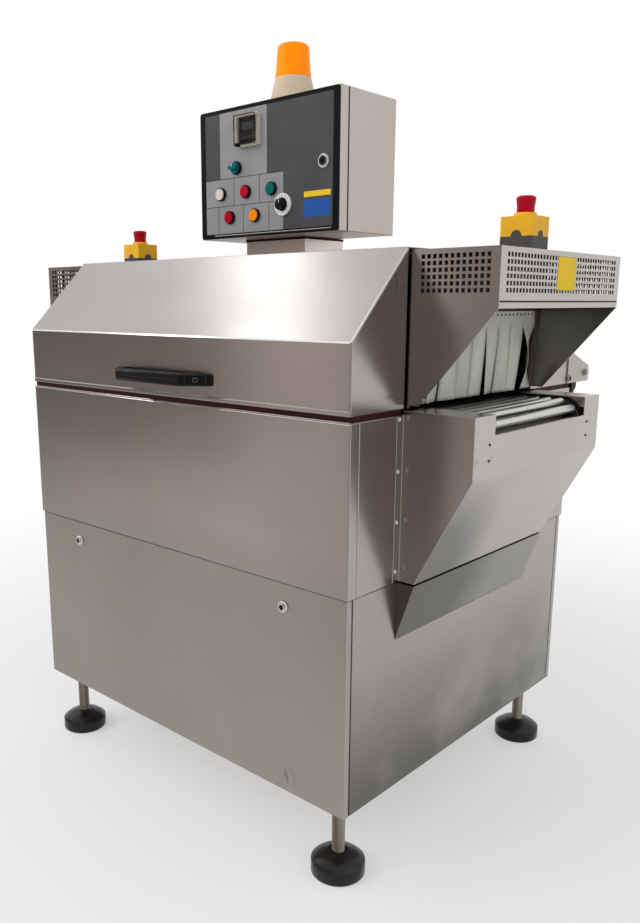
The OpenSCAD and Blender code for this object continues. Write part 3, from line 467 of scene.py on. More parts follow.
class Finish:
    """One node material while it is put together."""

    def __init__(self, name, **sockets):
        self.material = bpy.data.materials.new(name)
        self.material.use_nodes = True
        self.tree = self.material.node_tree
        self.shader = self.tree.nodes["Principled BSDF"]
        self.normal = None
        for socket, value in sockets.items():
            title = socket.replace("_", " ").title().replace("Ior", "IOR")
            self.shader.inputs[title].default_value = value

    def node(self, kind, output, inputs, **settings):
        """Adds a node and gives one of its outputs."""
        return add_node(self.tree, kind, output, inputs, **settings)

    def link(self, value, socket):
        """Links a value to one of the shader's sockets."""
        self.tree.links.new(value, self.shader.inputs[socket])

    def show(self, shader):
        """Puts another shader in the place of the first one and gives the material."""
        self.tree.nodes.remove(self.shader)
        self.tree.links.new(shader, self.tree.nodes["Material Output"].inputs["Surface"])
        return self.material

    def vector_math(self, operation, first, second=(0.0, 0.0, 0.0)):
        """A vector operation on a link, with a second link or a fixed vector."""
        output = "Vector" if operation in ("ABSOLUTE", "MULTIPLY", "SUBTRACT") else "Value"
        return self.node("ShaderNodeVectorMath", output, {0: first, 1: second}, operation=operation)

    def place(self, mirrored=False):
        """The place on the part in the frame's metres; mirrored takes both ends as the right one."""
        place = self.node("ShaderNodeTexCoord", "Object", {})
        return self.vector_math("ABSOLUTE", place) if mirrored else place

    def pattern(self, cycles, detail):
        """A noise over the part's own coordinates, with so many cycles in a metre along each axis."""
        scaled = self.node("ShaderNodeMapping", "Vector", {"Vector": self.place(), "Scale": cycles})
        return self.node("ShaderNodeTexNoise", "Fac", {"Vector": scaled, "Scale": 1.0, "Detail": detail})

    def between(self, value, start, end):
        """A number that goes from 0 where the value is start to 1 where it is end."""
        return self.node("ShaderNodeMapRange", "Result", {"Value": value, "From Min": start, "From Max": end})

    def along(self, axis, start, end, mirrored=False):
        """A number that goes from 0 at start to 1 at end along one axis of the frame."""
        part = self.node("ShaderNodeSeparateXYZ", axis, {"Vector": self.place(mirrored)})
        return self.between(part, start, end)

    def near(self, point, radius, blur=0.0005):
        """A number that is 1 within a radius of a point of the frame and 0 outside it."""
        return self.between(self.vector_math("DISTANCE", self.place(), point), radius + blur, radius)

    def inner_side(self, centre, axis):
        """A number that is 1 on faces that look along one axis towards a centre, and 0 on the others."""
        away = self.vector_math("SUBTRACT", self.place(), centre)
        away = self.vector_math("MULTIPLY", away, axis)
        normal = self.node("ShaderNodeNewGeometry", "True Normal", {})
        return self.between(self.vector_math("DOT_PRODUCT", away, normal), *INNER_SPAN)

    def both(self, first, second):
        """The product of two numbers."""
        return self.node("ShaderNodeMath", "Value", {0: first, 1: second}, operation="MULTIPLY")

    def mix(self, factor, under, over):
        """A colour that goes from one to another as the factor goes from 0 to 1."""
        inputs = {"Factor": factor, MIX_UNDER: under, MIX_OVER: over}
        return self.node("ShaderNodeMix", MIX_RESULT, inputs, data_type="RGBA")

    def ramp(self, factor, steps):
        """Colours over a number: pairs of a place from 0 to 1 and a colour, in order."""
        made = self.tree.nodes.new("ShaderNodeValToRGB")
        elements = made.color_ramp.elements
        for place, _ in steps[1:-1]:
            elements.new(place)
        for element, (place, rgb) in zip(elements, steps):
            element.position = place
            element.color = rgb
        self.tree.links.new(factor, made.inputs["Fac"])
        return made.outputs["Color"]

    def tone(self, pattern, dark, light):
        """Spreads the base colour from dark to light over a pattern."""
        self.link(self.ramp(pattern, ((TONE_LOW, dark), (TONE_HIGH, light))), "Base Color")

    def spread(self, pattern, low, high):
        """Spreads the roughness over a pattern."""
        reach = {"From Min": GLOSS_LOW, "From Max": GLOSS_HIGH, "To Min": low, "To Max": high}
        self.link(self.node("ShaderNodeMapRange", "Result", {"Value": pattern, **reach}), "Roughness")

    def overlay(self, factor, rgb):
        """Lays a second colour over the first where the factor is 1."""
        under = self.shader.inputs["Base Color"].links[0].from_socket
        self.link(self.mix(factor, under, rgb), "Base Color")

    def round_bends(self, radius):
        """Lets the edges catch the light as bends of some radius do."""
        self.normal = self.node("ShaderNodeBevel", "Normal", {"Radius": radius}, samples=6)
        self.link(self.normal, "Normal")

    def relief(self, pattern, depth):
        """Adds a relief of some depth in metres."""
        inputs = {"Height": pattern, "Strength": 1.0, "Distance": depth}
        if self.normal:
            inputs["Normal"] = self.normal
        self.normal = self.node("ShaderNodeBump", "Normal", inputs)
        self.link(self.normal, "Normal")


def brushed_steel(name, rgb, roughness, grain, bend):
    """Brushed sheet: fine grain along one axis, soft clouds where it was wiped, and bright bends."""
    finish = Finish(name, metallic=1.0)
    finish.tone(finish.pattern((2.3, 2.3, 1.9), 4.0), shade(rgb, 0.93), shade(rgb, 1.04))
    finish.spread(finish.pattern(WIPE[grain], 2.0), roughness - 0.02, roughness + 0.03)
    if bend:
        finish.round_bends(bend)
    finish.relief(finish.pattern(GRAIN[grain], 2.0), 0.000004)
    return finish


def surface(name, dark, light, spots, gloss, *reliefs, **sockets):
    """A surface whose colour and roughness follow one pattern, with reliefs of a pattern and a depth."""
    finish = Finish(name, **sockets)
    pattern = finish.pattern(*spots)
    finish.tone(pattern, dark, light)
    finish.spread(pattern, *gloss)
    for cycles, detail, depth in reliefs:
        finish.relief(finish.pattern(cycles, detail), depth)
    return finish


def dull_metal(name, rgb, roughness, speckle, contrast=0.12):
    """Plated or worn metal with a speckle of so many cycles in a metre."""
    specks = (even(speckle), 5.0)
    return surface(
        name, shade(rgb, 1.0 - contrast), shade(rgb, 1.0 + contrast / 2), specks,
        (roughness - 0.06, roughness + 0.10), (*specks, 0.00002), metallic=1.0,
    )


def moulded(name, rgb, roughness, coat=0.0, shine=0.2):
    """Moulded plastic with a fine pore and slightly uneven colour."""
    return surface(
        name, shade(rgb, 0.95), shade(rgb, 1.04), (even(26), 3.0),
        (roughness - 0.05, roughness + 0.07), (even(1400), 1.0, 0.00002),
        specular_ior_level=shine, coat_weight=coat, coat_roughness=0.12,
    )


def lens_plastic(name, rgb, glow):
    """Coloured lens with a painted glow: it gives off light in its own colour at a fixed strength, whatever
    light falls on it.
    """
    return surface(
        name, shade(rgb, 0.93), shade(rgb, 1.05), ((40, 40, 12), 2.0), (0.16, 0.28),
        specular_ior_level=0.08, coat_weight=0.02, coat_roughness=0.05,
        emission_color=shade(rgb), emission_strength=glow,
    )


def clear_pane(name):
    """Clear plastic of the instrument's window, a little dusty."""
    dusty, clean = shade((0.90, 0.90, 0.88)), shade((0.98, 0.98, 0.97))
    return surface(name, dusty, clean, (even(120), 4.0), (0.01, 0.05), transmission_weight=1.0, ior=1.25)


def silicone(name, rgb):
    """Soft seal: matt with a faint bloom."""
    bloom = (even(60), 5.0)
    return surface(
        name, shade(rgb, 0.75), shade(rgb, 1.25), bloom, (0.45, 0.65), (*bloom, 0.0002),
        specular_ior_level=0.15,
    )


def coated_cloth(name, rgb):
    """Glass cloth with a slippery coat: a fine weave under a soft gloss."""
    weft, warp = ((60, 60, 1500), 1.0, 0.00006), ((60, 1500, 60), 1.0, 0.00006)
    return surface(
        name, shade(rgb, 0.84), shade(rgb, 1.04), ((14, 14, 7), 5.0), (0.42, 0.58), weft, warp,
        coat_weight=0.15, coat_roughness=0.35, subsurface_weight=0.12,
    )


def printed_film(name, rgb):
    """Satin film of the control panel."""
    return surface(
        name, shade(rgb, 0.94), shade(rgb, 1.05), (even(18), 4.0), (0.36, 0.48),
        (even(900), 1.0, 0.00001), specular_ior_level=0.12,
    )


def sheet_metals(steel):
    """Mixes the brushed sheets: colour, added roughness, grain and share of the bend radius."""
    sheets = (
        ("casing steel x", steel.casing, 0.0, "x", 1.0),
        ("casing steel y", steel.casing, 0.0, "y", 1.0),
        ("roof steel", steel.casing, 0.0, "x", 1.0),
        # The upper end walls take painted shade where the guards cover them
        ("stained steel", steel.casing, 0.1, "y", 0.0),
        ("base steel", steel.base, 0.02, "x", 1.0),
        ("front panel steel", steel.base, 0.02, "x", 1.0),
        ("dirty steel", steel.base, 0.04, "y", 1.0),
        ("housing steel", steel.housing, 0.04, "x", 0.0),
        ("cabinet steel", steel.cabinet, 0.08, "z", 0.7),
        # A lighter copy of the box's sheet: painted light, for the brighter reflection on the column
        ("column steel", shade(steel.cabinet, 1.4), 0.06, "x", 0.7),
        ("chute steel", steel.guard, 0.0, "x", 0.6),
        ("chute end steel", steel.guard, 0.0, "y", 0.6),
        # Darker than the guards' sheet: painted shade under the chutes
        ("deflector steel", steel.deflector, 0.06, "y", 0.6),
        ("guard front steel", steel.guard, 0.0, "x", 0.0),
        ("guard end steel", steel.guard, 0.0, "y", 0.0),
        ("guard top steel", steel.guard, 0.0, "y", 0.0),
        ("guard rear steel", steel.guard, 0.04, "x", 0.0),
    )
    made = {}
    for name, rgb, duller, grain, bend in sheets:
        made[name] = brushed_steel(name, rgb, steel.gloss + duller, grain, steel.bend * bend)
    return made


def shade_chutes_and_soil_base(sheets, steel):
    """Paints shade on the chutes and the deflectors near their lower front corners, lays dirt on the base ends,
    and run-down stains on the base front.
    """
    chute, deflector = sheets["chute end steel"], sheets["deflector steel"]
    # The dark patches near the chutes' lower front corners are painted shade, on the chutes and the deflectors
    for side in SIDES:
        corner = (side * CHUTE_CORNER[0], CHUTE_CORNER[1], CHUTE_CORNER[2])
        chute.overlay(chute.near(corner, *CHUTE_SHADE), shade(steel.grime_and_shade))
        deflector.overlay(deflector.near(corner, *DEFLECTOR_SHADE), shade(steel.grime_and_shade, 0.85))
    specks = chute.between(chute.pattern(even(90), 3.0), *SMUDGE_SPAN)
    for smudge, radius in GLUE_SMUDGES:
        spot = chute.near(smudge, radius, SMUDGE_BLUR)
        chute.overlay(chute.both(spot, specks), shade(steel.guard, 0.72))
    ends = sheets["dirty steel"]
    blots = ends.between(ends.pattern((3.5, 3.5, 5.0), 4.0), *BLOT_SPAN)
    ends.overlay(ends.both(ends.along("Z", *DIRT_SPAN), blots), shade(steel.grime_and_shade, 0.9))
    front = sheets["front panel steel"]
    streaks = front.between(front.pattern((190, 190, 24), 3.0), *DRIP_SPAN)
    front.overlay(front.both(front.near(DRIPS, *DRIP_REACH), streaks), shade(steel.base, 0.68))


def paint_shade_inside(sheets, steel):
    """Paints shade on the guards' inner faces, and on the end walls and the roof's ends where the guards cover
    them.
    """
    start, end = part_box("guard_front_plates")[0].y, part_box("guard_rear_plates")[1].y
    inside = (0.0, (start + end) / 2, GUARD_MIDDLE_Z)
    # Painted shade on the faces of the guard plates that look inwards
    for name, axis in (("front", Y_AXIS), ("end", X_AXIS), ("top", Z_AXIS)):
        plate = sheets[f"guard {name} steel"]
        plate.overlay(plate.inner_side(inside, axis), shade(steel.inner_shade, 0.4))
    # The rear plates' inner faces are darkened, and more so high up: painted shade
    rear = sheets["guard rear steel"]
    inner = rear.inner_side(inside, Y_AXIS)
    rear.overlay(inner, shade(steel.grime_and_shade, 1.25))
    rear.overlay(rear.both(inner, rear.along("Z", *REAR_SHADE_SPAN)), shade(steel.inner_shade, 0.4))
    blur, fade, rim_start, rim_end = 0.004, 0.03, 0.0015, 0.0005
    # Painted shade on the end walls in front of the guards' rear plates, darkest where the guards cover them
    wall = sheets["stained steel"]
    mouth = wall.along("Y", end + blur, end - fade)
    wall.overlay(mouth, shade(steel.inner_shade))
    hidden = wall.both(wall.along("Y", start - blur, start), wall.along("Z", *WALL_SHADE_SPAN))
    wall.overlay(wall.both(mouth, hidden), shade(steel.inner_shade, 0.25))
    # Painted shade on the roof's ends where the guards cover them
    roof = sheets["roof steel"]
    roof_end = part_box("upper_roof")[1].x
    window = roof.both(roof.along("Y", start - blur, start), roof.along("Y", end, end - blur))
    ends = roof.along("X", roof_end - rim_start, roof_end - rim_end, mirrored=True)
    roof.overlay(roof.both(window, ends), shade(steel.inner_shade, 0.25))


class TUNNEL_OT_finishes(Operator):
    """Mix the metals, plastics, seals and films of the tunnel"""

    bl_idname = "tunnel.finishes"
    bl_label = "Finishes"

    def execute(self, context):
        steel = context.scene.tunnel_steel
        plastic = context.scene.tunnel_plastic
        sheets = sheet_metals(steel)
        shade_chutes_and_soil_base(sheets, steel)
        paint_shade_inside(sheets, steel)
        dull_metal("dull zinc", steel.zinc, 0.42, 300)
        dull_metal("worn thread", steel.thread, 0.44, 300, 0.3)
        tube = dull_metal("worn tube", steel.tube, 0.34, 420, 0.08)
        # The rods inside the tunnel are darkened: painted shade
        tube.overlay(tube.along("X", *ROD_SHADE_SPAN, mirrored=True), shade(steel.inner_shade))
        dull_metal("oiled chain", steel.chain, 0.46, 160)
        dull_metal("bright screw", steel.bright, 0.26, 500)
        # Dark floors of sockets, holes and the guards' seams: painted shade
        dull_metal("dark socket", shade(steel.chain, 0.3), 0.6, 500)
        # Brighter metal of the beads on the edges: painted highlight, which the strip lamp also catches
        dull_metal("polished edge", shade(steel.bright, 1.2), 0.12, 300, 0.04)
        moulded("black moulding", plastic.black, 0.42, shine=0.14)
        moulded("pad moulding", shade(plastic.grey, 0.12), 0.26, shine=0.3)
        moulded("grey moulding", plastic.grey, 0.5)
        moulded("yellow moulding", plastic.yellow, 0.44)
        moulded("yellow plate", plastic.plate, 0.44, shine=0.1)
        moulded("beige moulding", plastic.beige, 0.48)
        moulded("silver moulding", plastic.silver, 0.34, coat=0.2)
        for name in ("red", "green", "teal"):
            moulded(f"{name} moulding", getattr(plastic, name), 0.22, shine=0.12)
        lens_plastic("white lens", plastic.white, 0.0)
        # The beacon's lens glows a little: painted light
        lens_plastic("amber lens", plastic.amber, 0.22)
        pilots = lens_plastic("pilot lenses", plastic.white, 0.0)
        low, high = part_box("pilot_lenses")
        lens_r = PILOT_D / 2
        amber_at = (high.x - lens_r, low.y, low.z + lens_r)
        pilots.overlay(pilots.near(amber_at, PILOT_D), shade(plastic.amber))
        low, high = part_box("dial_knob")
        dial_at = ((low.x + high.x) / 2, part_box("control_bezels")[0].y, (low.z + high.z) / 2)
        bezels = moulded("bezels", plastic.black, 0.36)
        bezels.overlay(bezels.near(dial_at, DIAL_REACH), shade(steel.bright))
        low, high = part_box("door_lock")
        lock_at = ((low.x + high.x) / 2, low.y, (low.z + high.z) / 2)
        lock = moulded("lock", shade(steel.bright, 0.7), 0.24, coat=0.4)
        lock.overlay(lock.near(lock_at, LOCK_INSERT_R), shade(plastic.black))
        clear_pane("clear pane")
        silicone("red silicone", plastic.seal)
        silicone("black rubber", shade(plastic.grey, 0.34))
        coated_cloth("coated cloth", context.scene.tunnel_curtain.cloth)
        printed_film("film field", plastic.film)
        printed_film("film border", plastic.film_edge)
        for name in ("light", "line", "blue", "yellow"):
            printed_film(f"film {name}", getattr(plastic, f"film_{name}"))
        return {"FINISHED"}


def lamp(name, place, aim, width, height, watts):
    """A soft lamp that looks at a point."""
    data = bpy.data.lights.new(name, "AREA")
    data.shape = "RECTANGLE"
    data.size = width
    data.size_y = height
    data.energy = watts
    made = bpy.data.objects.new(name, data)
    made.location = place
    made.rotation_euler = (Vector(aim) - Vector(place)).to_track_quat("-Z", "Y").to_euler()
    bpy.context.scene.collection.objects.link(made)
    return made


def seen_rays(tree):
    """Light Path's camera, glossy and transmission rays in one number from 0 to 1."""
    path = tree.nodes.new("ShaderNodeLightPath").outputs
    seen = path["Is Camera Ray"]
    for ray in ("Is Glossy Ray", "Is Transmission Ray"):
        inputs = {0: seen, 1: path[ray]}
        seen = add_node(tree, "ShaderNodeMath", "Value", inputs, operation="ADD", use_clamp=True)
    return seen


def studio_world(stage):
    """White to the camera and in reflections, with a soft light for all else."""
    world = bpy.data.worlds.new("studio")
    bpy.context.scene.world = world
    world.use_nodes = True
    tree = world.node_tree
    soft = tree.nodes["Background"]
    soft.inputs["Color"].default_value = shade(stage.sky_colour)
    soft.inputs["Strength"].default_value = stage.sky_level
    white = {"Color": (1.0, 1.0, 1.0, 1.0), "Strength": 1.0}
    white = add_node(tree, "ShaderNodeBackground", "Background", white)
    inputs = {"Fac": seen_rays(tree), 1: soft.outputs["Background"], 2: white}
    mixed = add_node(tree, "ShaderNodeMixShader", "Shader", inputs)
    tree.links.new(mixed, tree.nodes["World Output"].inputs["Surface"])


def floor_material(stage):
    """Pale floor that keeps the part's shadow and fades to white with the distance from it."""
    finish = Finish("pale floor")
    matt = finish.node("ShaderNodeBsdfDiffuse", "BSDF", {"Color": shade(stage.floor_colour)})
    white = finish.node("ShaderNodeEmission", "Emission", {"Strength": 1.0})
    fade = {
        "Value": finish.vector_math("LENGTH", finish.place()),
        "From Min": stage.floor_near,
        "From Max": stage.floor_far,
        "To Min": stage.floor_glow,
        "To Max": 1.0,
    }
    fade = finish.node("ShaderNodeMapRange", "Result", fade, interpolation_type="SMOOTHSTEP")
    inputs = {"Fac": finish.both(fade, seen_rays(finish.tree)), 1: matt, 2: white}
    return finish.show(finish.node("ShaderNodeMixShader", "Shader", inputs))


def flag_material(stage):
    """Graded card: light and dark bands from left to right, darker towards its top."""
    finish = Finish("graded flag")
    bands = []
    for steps, tint in ((FLAG_LOW, stage.flag_low), (FLAG_HIGH, stage.flag_high)):
        first, last = steps[0][0], steps[-1][0]
        shades = [((place - first) / (last - first), shade(tint, level)) for place, level in steps]
        bands.append(finish.ramp(finish.along("X", first, last), shades))
    both = finish.mix(finish.along("Z", *FLAG_MID), *bands)
    return finish.show(finish.node("ShaderNodeEmission", "Emission", {"Color": both}))


def apron_material(stage):
    """Grey sheet on the floor, lighter towards the part."""
    finish = Finish("grey apron")
    both = finish.mix(finish.along("Y", *APRON_GRADE), shade(stage.apron_far), shade(stage.apron_near))
    return finish.show(finish.node("ShaderNodeEmission", "Emission", {"Color": both}))


def stage_sheet(name, corners, material, reflected_only=False):
    """A flat sheet of the stage, which may be left to reflections."""
    mesh = bpy.data.meshes.new(name)
    mesh.from_pydata(corners, [], [range(len(corners))])
    mesh.materials.append(material)
    made = bpy.data.objects.new(name, mesh)
    bpy.context.scene.collection.objects.link(made)
    if reflected_only:
        made.visible_camera = False
        made.visible_diffuse = False
        made.visible_shadow = False


class TUNNEL_OT_stage(Operator):
    """Set up the camera, the pale floor, the soft lamps, and the flag and apron that the metal mirrors"""

    bl_idname = "tunnel.stage"
    bl_label = "Stage"

    def execute(self, context):
        stage = context.scene.tunnel_stage
        context.scene.view_settings.view_transform = "Standard"
        data = bpy.data.cameras.new("camera")
        data.lens = stage.camera_lens
        data.shift_x, data.shift_y = stage.camera_shift
        camera = bpy.data.objects.new("camera", data)
        camera.location = stage.camera_place
        camera.rotation_euler = (stage.camera_tilt, 0.0, stage.camera_heading)
        context.scene.collection.objects.link(camera)
        context.scene.camera = camera

        studio_world(stage)
        rim_steps = 96
        around = (math.tau * step / rim_steps for step in range(rim_steps))
        rim = [(stage.floor_size * math.cos(a), stage.floor_size * math.sin(a), 0.0) for a in around]
        stage_sheet("floor", rim, floor_material(stage))

        left, right, bottom, top, flag_y = -4.2, 2.6, 0.02, 2.3, -2.0
        corners = [(x, flag_y, z) for x, z in rectangle(left, right, bottom, top)]
        stage_sheet("flag", corners, flag_material(stage), reflected_only=True)
        near_y, near_right, lift = -0.52, 0.62, 0.004
        outline = ((left, flag_y), (right, flag_y), (near_right, near_y), (left, near_y))
        corners = [(x, y, lift) for x, y in outline]
        stage_sheet("apron", corners, apron_material(stage), reflected_only=True)

        slope, bend = (0.225, -0.38, 1.14), (0.0, -0.46, 1.06)
        lamp("key lamp", (-2.88, -0.40, 4.40), slope, 2.6, 0.52, stage.key_power)
        lamp("strip lamp", (-2.5, flag_y, top + 0.13), bend, 3.4, 0.22, stage.strip_power)
        lamp("fill lamp", (3.6, 0.6, 2.6), (0.0, 0.0, 0.9), 2.4, 2.4, stage.fill_power)
        front = lamp("front lamp", (-1.6, -4.2, 3.2), (0.0, 0.0, 1.0), 2.4, 2.4, stage.front_power)
        front.visible_glossy = False
        return {"FINISHED"}


class TUNNEL_OT_casings(Operator):
    """Finish the sheet metal of the base, tank, housing, cover, guards and chutes"""

    bl_idname = "tunnel.casings"
    bl_label = "Sheet metal"

    def execute(self, context):
        dress(
            ("front panel steel", SHEET_EDGE, "base_front_panel"),
            ("base steel", SHEET_EDGE, "base_rear_panel"),
            ("dirty steel", SHEET_EDGE, "base_end_panels"),
            ("casing steel x", SHEET_EDGE, "tank_front_wall", "tank_rear_wall", "cover_skin"),
            ("casing steel x", SHEET_EDGE, "upper_rear_wall"),
            ("roof steel", SHEET_EDGE, "upper_roof"),
            ("casing steel y", SHEET_EDGE, "tank_end_walls", "cover_ends"),
            # The end walls take painted shade where the guards cover them
            ("stained steel", 0, "upper_end_walls"),
            ("housing steel", 0, "base_frame", "tank_floor"),
            ("guard front steel", 0, "guard_front_plates"),
            ("guard rear steel", 0, "guard_rear_plates"),
            ("guard end steel", 0, "guard_end_plates"),
            ("guard top steel", 0, "guard_tops"),
            ("chute steel", THIN_EDGE, "chute_sides"),
            ("chute end steel", THIN_EDGE, "chute_end_plates"),
            ("deflector steel", THIN_EDGE, "drip_deflectors"),
            ("cabinet steel", BOX_EDGE, "control_box", "control_door"),
            ("column steel", SHEET_EDGE, "control_column"),
            ("dull zinc", SMALL_EDGE, "rear_brackets"),
            ("worn thread", SMALL_EDGE, "foot_spindles"),
            ("dull zinc", 0, "cover_hinges", "roof_hinges", "box_hinges", "door_hinges"),
        )
        return {"FINISHED"}


class TUNNEL_OT_conveyor(Operator):
    """Finish the rods, chains, guides and shafts of the conveyor"""

    bl_idname = "tunnel.conveyor"
    bl_label = "Conveyor"

    def execute(self, context):
        dress(
            ("worn tube", 0, "conveyor_rods"),
            ("oiled chain", 0, "conveyor_chains", "conveyor_shafts"),
            ("black moulding", 0, "chain_guides"),
        )
        return {"FINISHED"}


class TUNNEL_OT_mouldings(Operator):
    """Finish the plastic and rubber pieces: feet, handle, stop boxes, buttons, lenses and seals"""

    bl_idname = "tunnel.mouldings"
    bl_label = "Mouldings"

    def execute(self, context):
        dress(
            ("black moulding", KNOB_EDGE, "cover_handle", "rear_stops", "dial_knob"),
            ("pad moulding", PAD_EDGE, "foot_pads"),
            ("grey moulding", BOX_EDGE, "stop_bases"),
            ("yellow moulding", BOX_EDGE, "stop_covers"),
            ("red moulding", THIN_EDGE, "right_stop_button", "left_stop_button"),
            ("red moulding", BUTTON_EDGE, "stop_button", "reset_button"),
            ("green moulding", BUTTON_EDGE, "start_button"),
            ("teal moulding", KNOB_EDGE, "selector_knob"),
            ("pilot lenses", BUTTON_EDGE, "pilot_lenses"),
            ("beige moulding", THIN_EDGE, "beacon_foot"),
            ("amber lens", BOX_EDGE, "beacon_lens"),
            ("red silicone", 0, "gasket"),
            ("film field", 0, "control_panel"),
            ("bezels", SMALL_EDGE, "control_bezels"),
            ("lock", SMALL_EDGE, "door_lock"),
        )
        return {"FINISHED"}


def curtain_shape(low, high, side, curtain):
    """Strips that hang from one uncut head, each with its own swing, twist and lean."""
    chance = random.Random(curtain.seed + side)
    shape = Shape()
    columns, rows = 4, 26
    cup_depth, swing_power, lean_power = 0.0015, 1.6, 1.3
    last = curtain.strips - 1
    width = (high.y - low.y) / curtain.strips
    drop = high.z - low.z - curtain.head
    face = side * (abs(low.x) + abs(high.x)) / 2
    for strip in range(curtain.strips):
        middle = low.y + (strip + 0.5) * width
        lean = chance.uniform(-1.0, 1.0) * curtain.wander - curtain.lean
        twist = chance.uniform(-1.0, 1.0) * curtain.twist
        swing = curtain.swing * chance.uniform(0.6, 1.3)
        if strip == last:
            lean = curtain.lean
        elif strip == last - 1:
            lean = -6.0 * curtain.lean
        elif strip == 0:
            lean = abs(lean)
        grid = []
        for row in range(rows + 1):
            z = high.z - (high.z - low.z) * row / rows
            fall = max(0.0, (high.z - curtain.head - z) / drop)
            belly = math.sin(math.pi * fall)
            gap = curtain.slit if fall > 0 else 0.0
            angle = curtain.curl * belly if strip == last else twist * fall
            points = []
            for column in range(columns + 1):
                across = (column / columns - 0.5) * (width - gap)
                cup = cup_depth * math.sin(math.pi * column / columns) * belly
                out = across * math.sin(angle) + cup - swing * fall ** swing_power
                y = middle + lean * fall ** lean_power + across * math.cos(angle)
                points.append((face + side * out, y, z))
            grid.append(points)
        shape.rows(grid)
    shape.weld()
    return shape


class TUNNEL_OT_curtains(Operator):
    """Hang the strip curtains in the two mouths"""

    bl_idname = "tunnel.curtains"
    bl_label = "Curtains"

    def execute(self, context):
        curtain = context.scene.tunnel_curtain
        for side, node in zip(SIDES, CURTAINS):
            low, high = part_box(node)
            shape = curtain_shape(low, high, side, curtain)
            cloth = piece(f"{node}_cloth", shape, "tunnel", "curtain_strip", "coated cloth")
            skin = cloth.modifiers.new("Cloth thickness", "SOLIDIFY")
            skin.thickness = curtain.thickness
            skin.offset = 0.0
            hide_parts(node)
        return {"FINISHED"}


def dome(shape, place, diameter, height, steps):
    """A low rivet head."""
    radius = diameter / 2
    profile = [(radius, 0.0), (radius, height * 0.3), (radius * 0.86, height * 0.65),
               (radius * 0.55, height * 0.92), (radius * 0.15, height)]
    shape.revolve(profile, place, steps)


def socket_screw(shape, place, diameter, height, socket):
    """A button head with a hexagon socket, in two finishes: the head, and the socket's floor, whose darker
    finish is painted shade.
    """
    radius = diameter / 2
    key = radius * socket
    profile = [(radius, 0.0), (radius, height * 0.25), (radius * 0.93, height * 0.55),
               (radius * 0.78, height * 0.85), (key * 1.22, height), (key, height), (key, height * 0.4)]
    shape.finish = 0
    shape.revolve(profile, place, 24, hexed=(5, 6))
    shape.finish = 1
    shape.revolve([(key * 0.97, height * 0.38), (key * 0.97, height * 0.46)], place, 24, hexed=(0, 1))


def hexagon_bolt(shape, place, width, height):
    """A hexagon head on its washer."""
    radius = width / 2
    washer = radius * 1.55
    shape.revolve([(washer, 0.0), (washer, height * 0.2), (radius, height * 0.2)], place, 24)
    profile = [(radius, height * 0.15), (radius, height * 0.9), (radius * 0.9, height)]
    shape.revolve(profile, place, 24, hexed=(0, 1))


class TUNNEL_OT_curtain_rails(Operator):
    """Clamp each curtain's head under a rail, with a row of rivets below"""

    bl_idname = "tunnel.curtain_rails"
    bl_label = "Curtain rails"

    def execute(self, context):
        curtain = context.scene.tunnel_curtain
        rails = Shape()
        rivets = Shape()
        overhang, rivet_h, rivet_steps = 0.004, 0.0016, 12
        for side, node in zip(SIDES, CURTAINS):
            low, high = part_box(node)
            face = side * max(abs(low.x), abs(high.x))
            rail_low = high.z - curtain.rail_lap
            ends = sorted((face, face + side * curtain.rail_t))
            rails.slab((ends[0], low.y - overhang, rail_low),
                       (ends[1], high.y + overhang, rail_low + curtain.rail_h))
            count = int((high.y - low.y) / curtain.rivet_pitch)
            start = (high.y + low.y - (count - 1) * curtain.rivet_pitch) / 2
            cloth_x = (abs(low.x) + abs(high.x)) / 2 + curtain.thickness / 2
            for step in range(count):
                y = start + step * curtain.rivet_pitch
                place = on_end(side, cloth_x, y, high.z - curtain.rivet_drop)
                dome(rivets, place, curtain.rivet_d, rivet_h, rivet_steps)
        piece("curtain_rails", rails, "tunnel", "chain_steel", "oiled chain", edge=THIN_EDGE)
        piece("curtain_rivets", rivets, "tunnel", "chain_steel", "oiled chain")
        return {"FINISHED"}


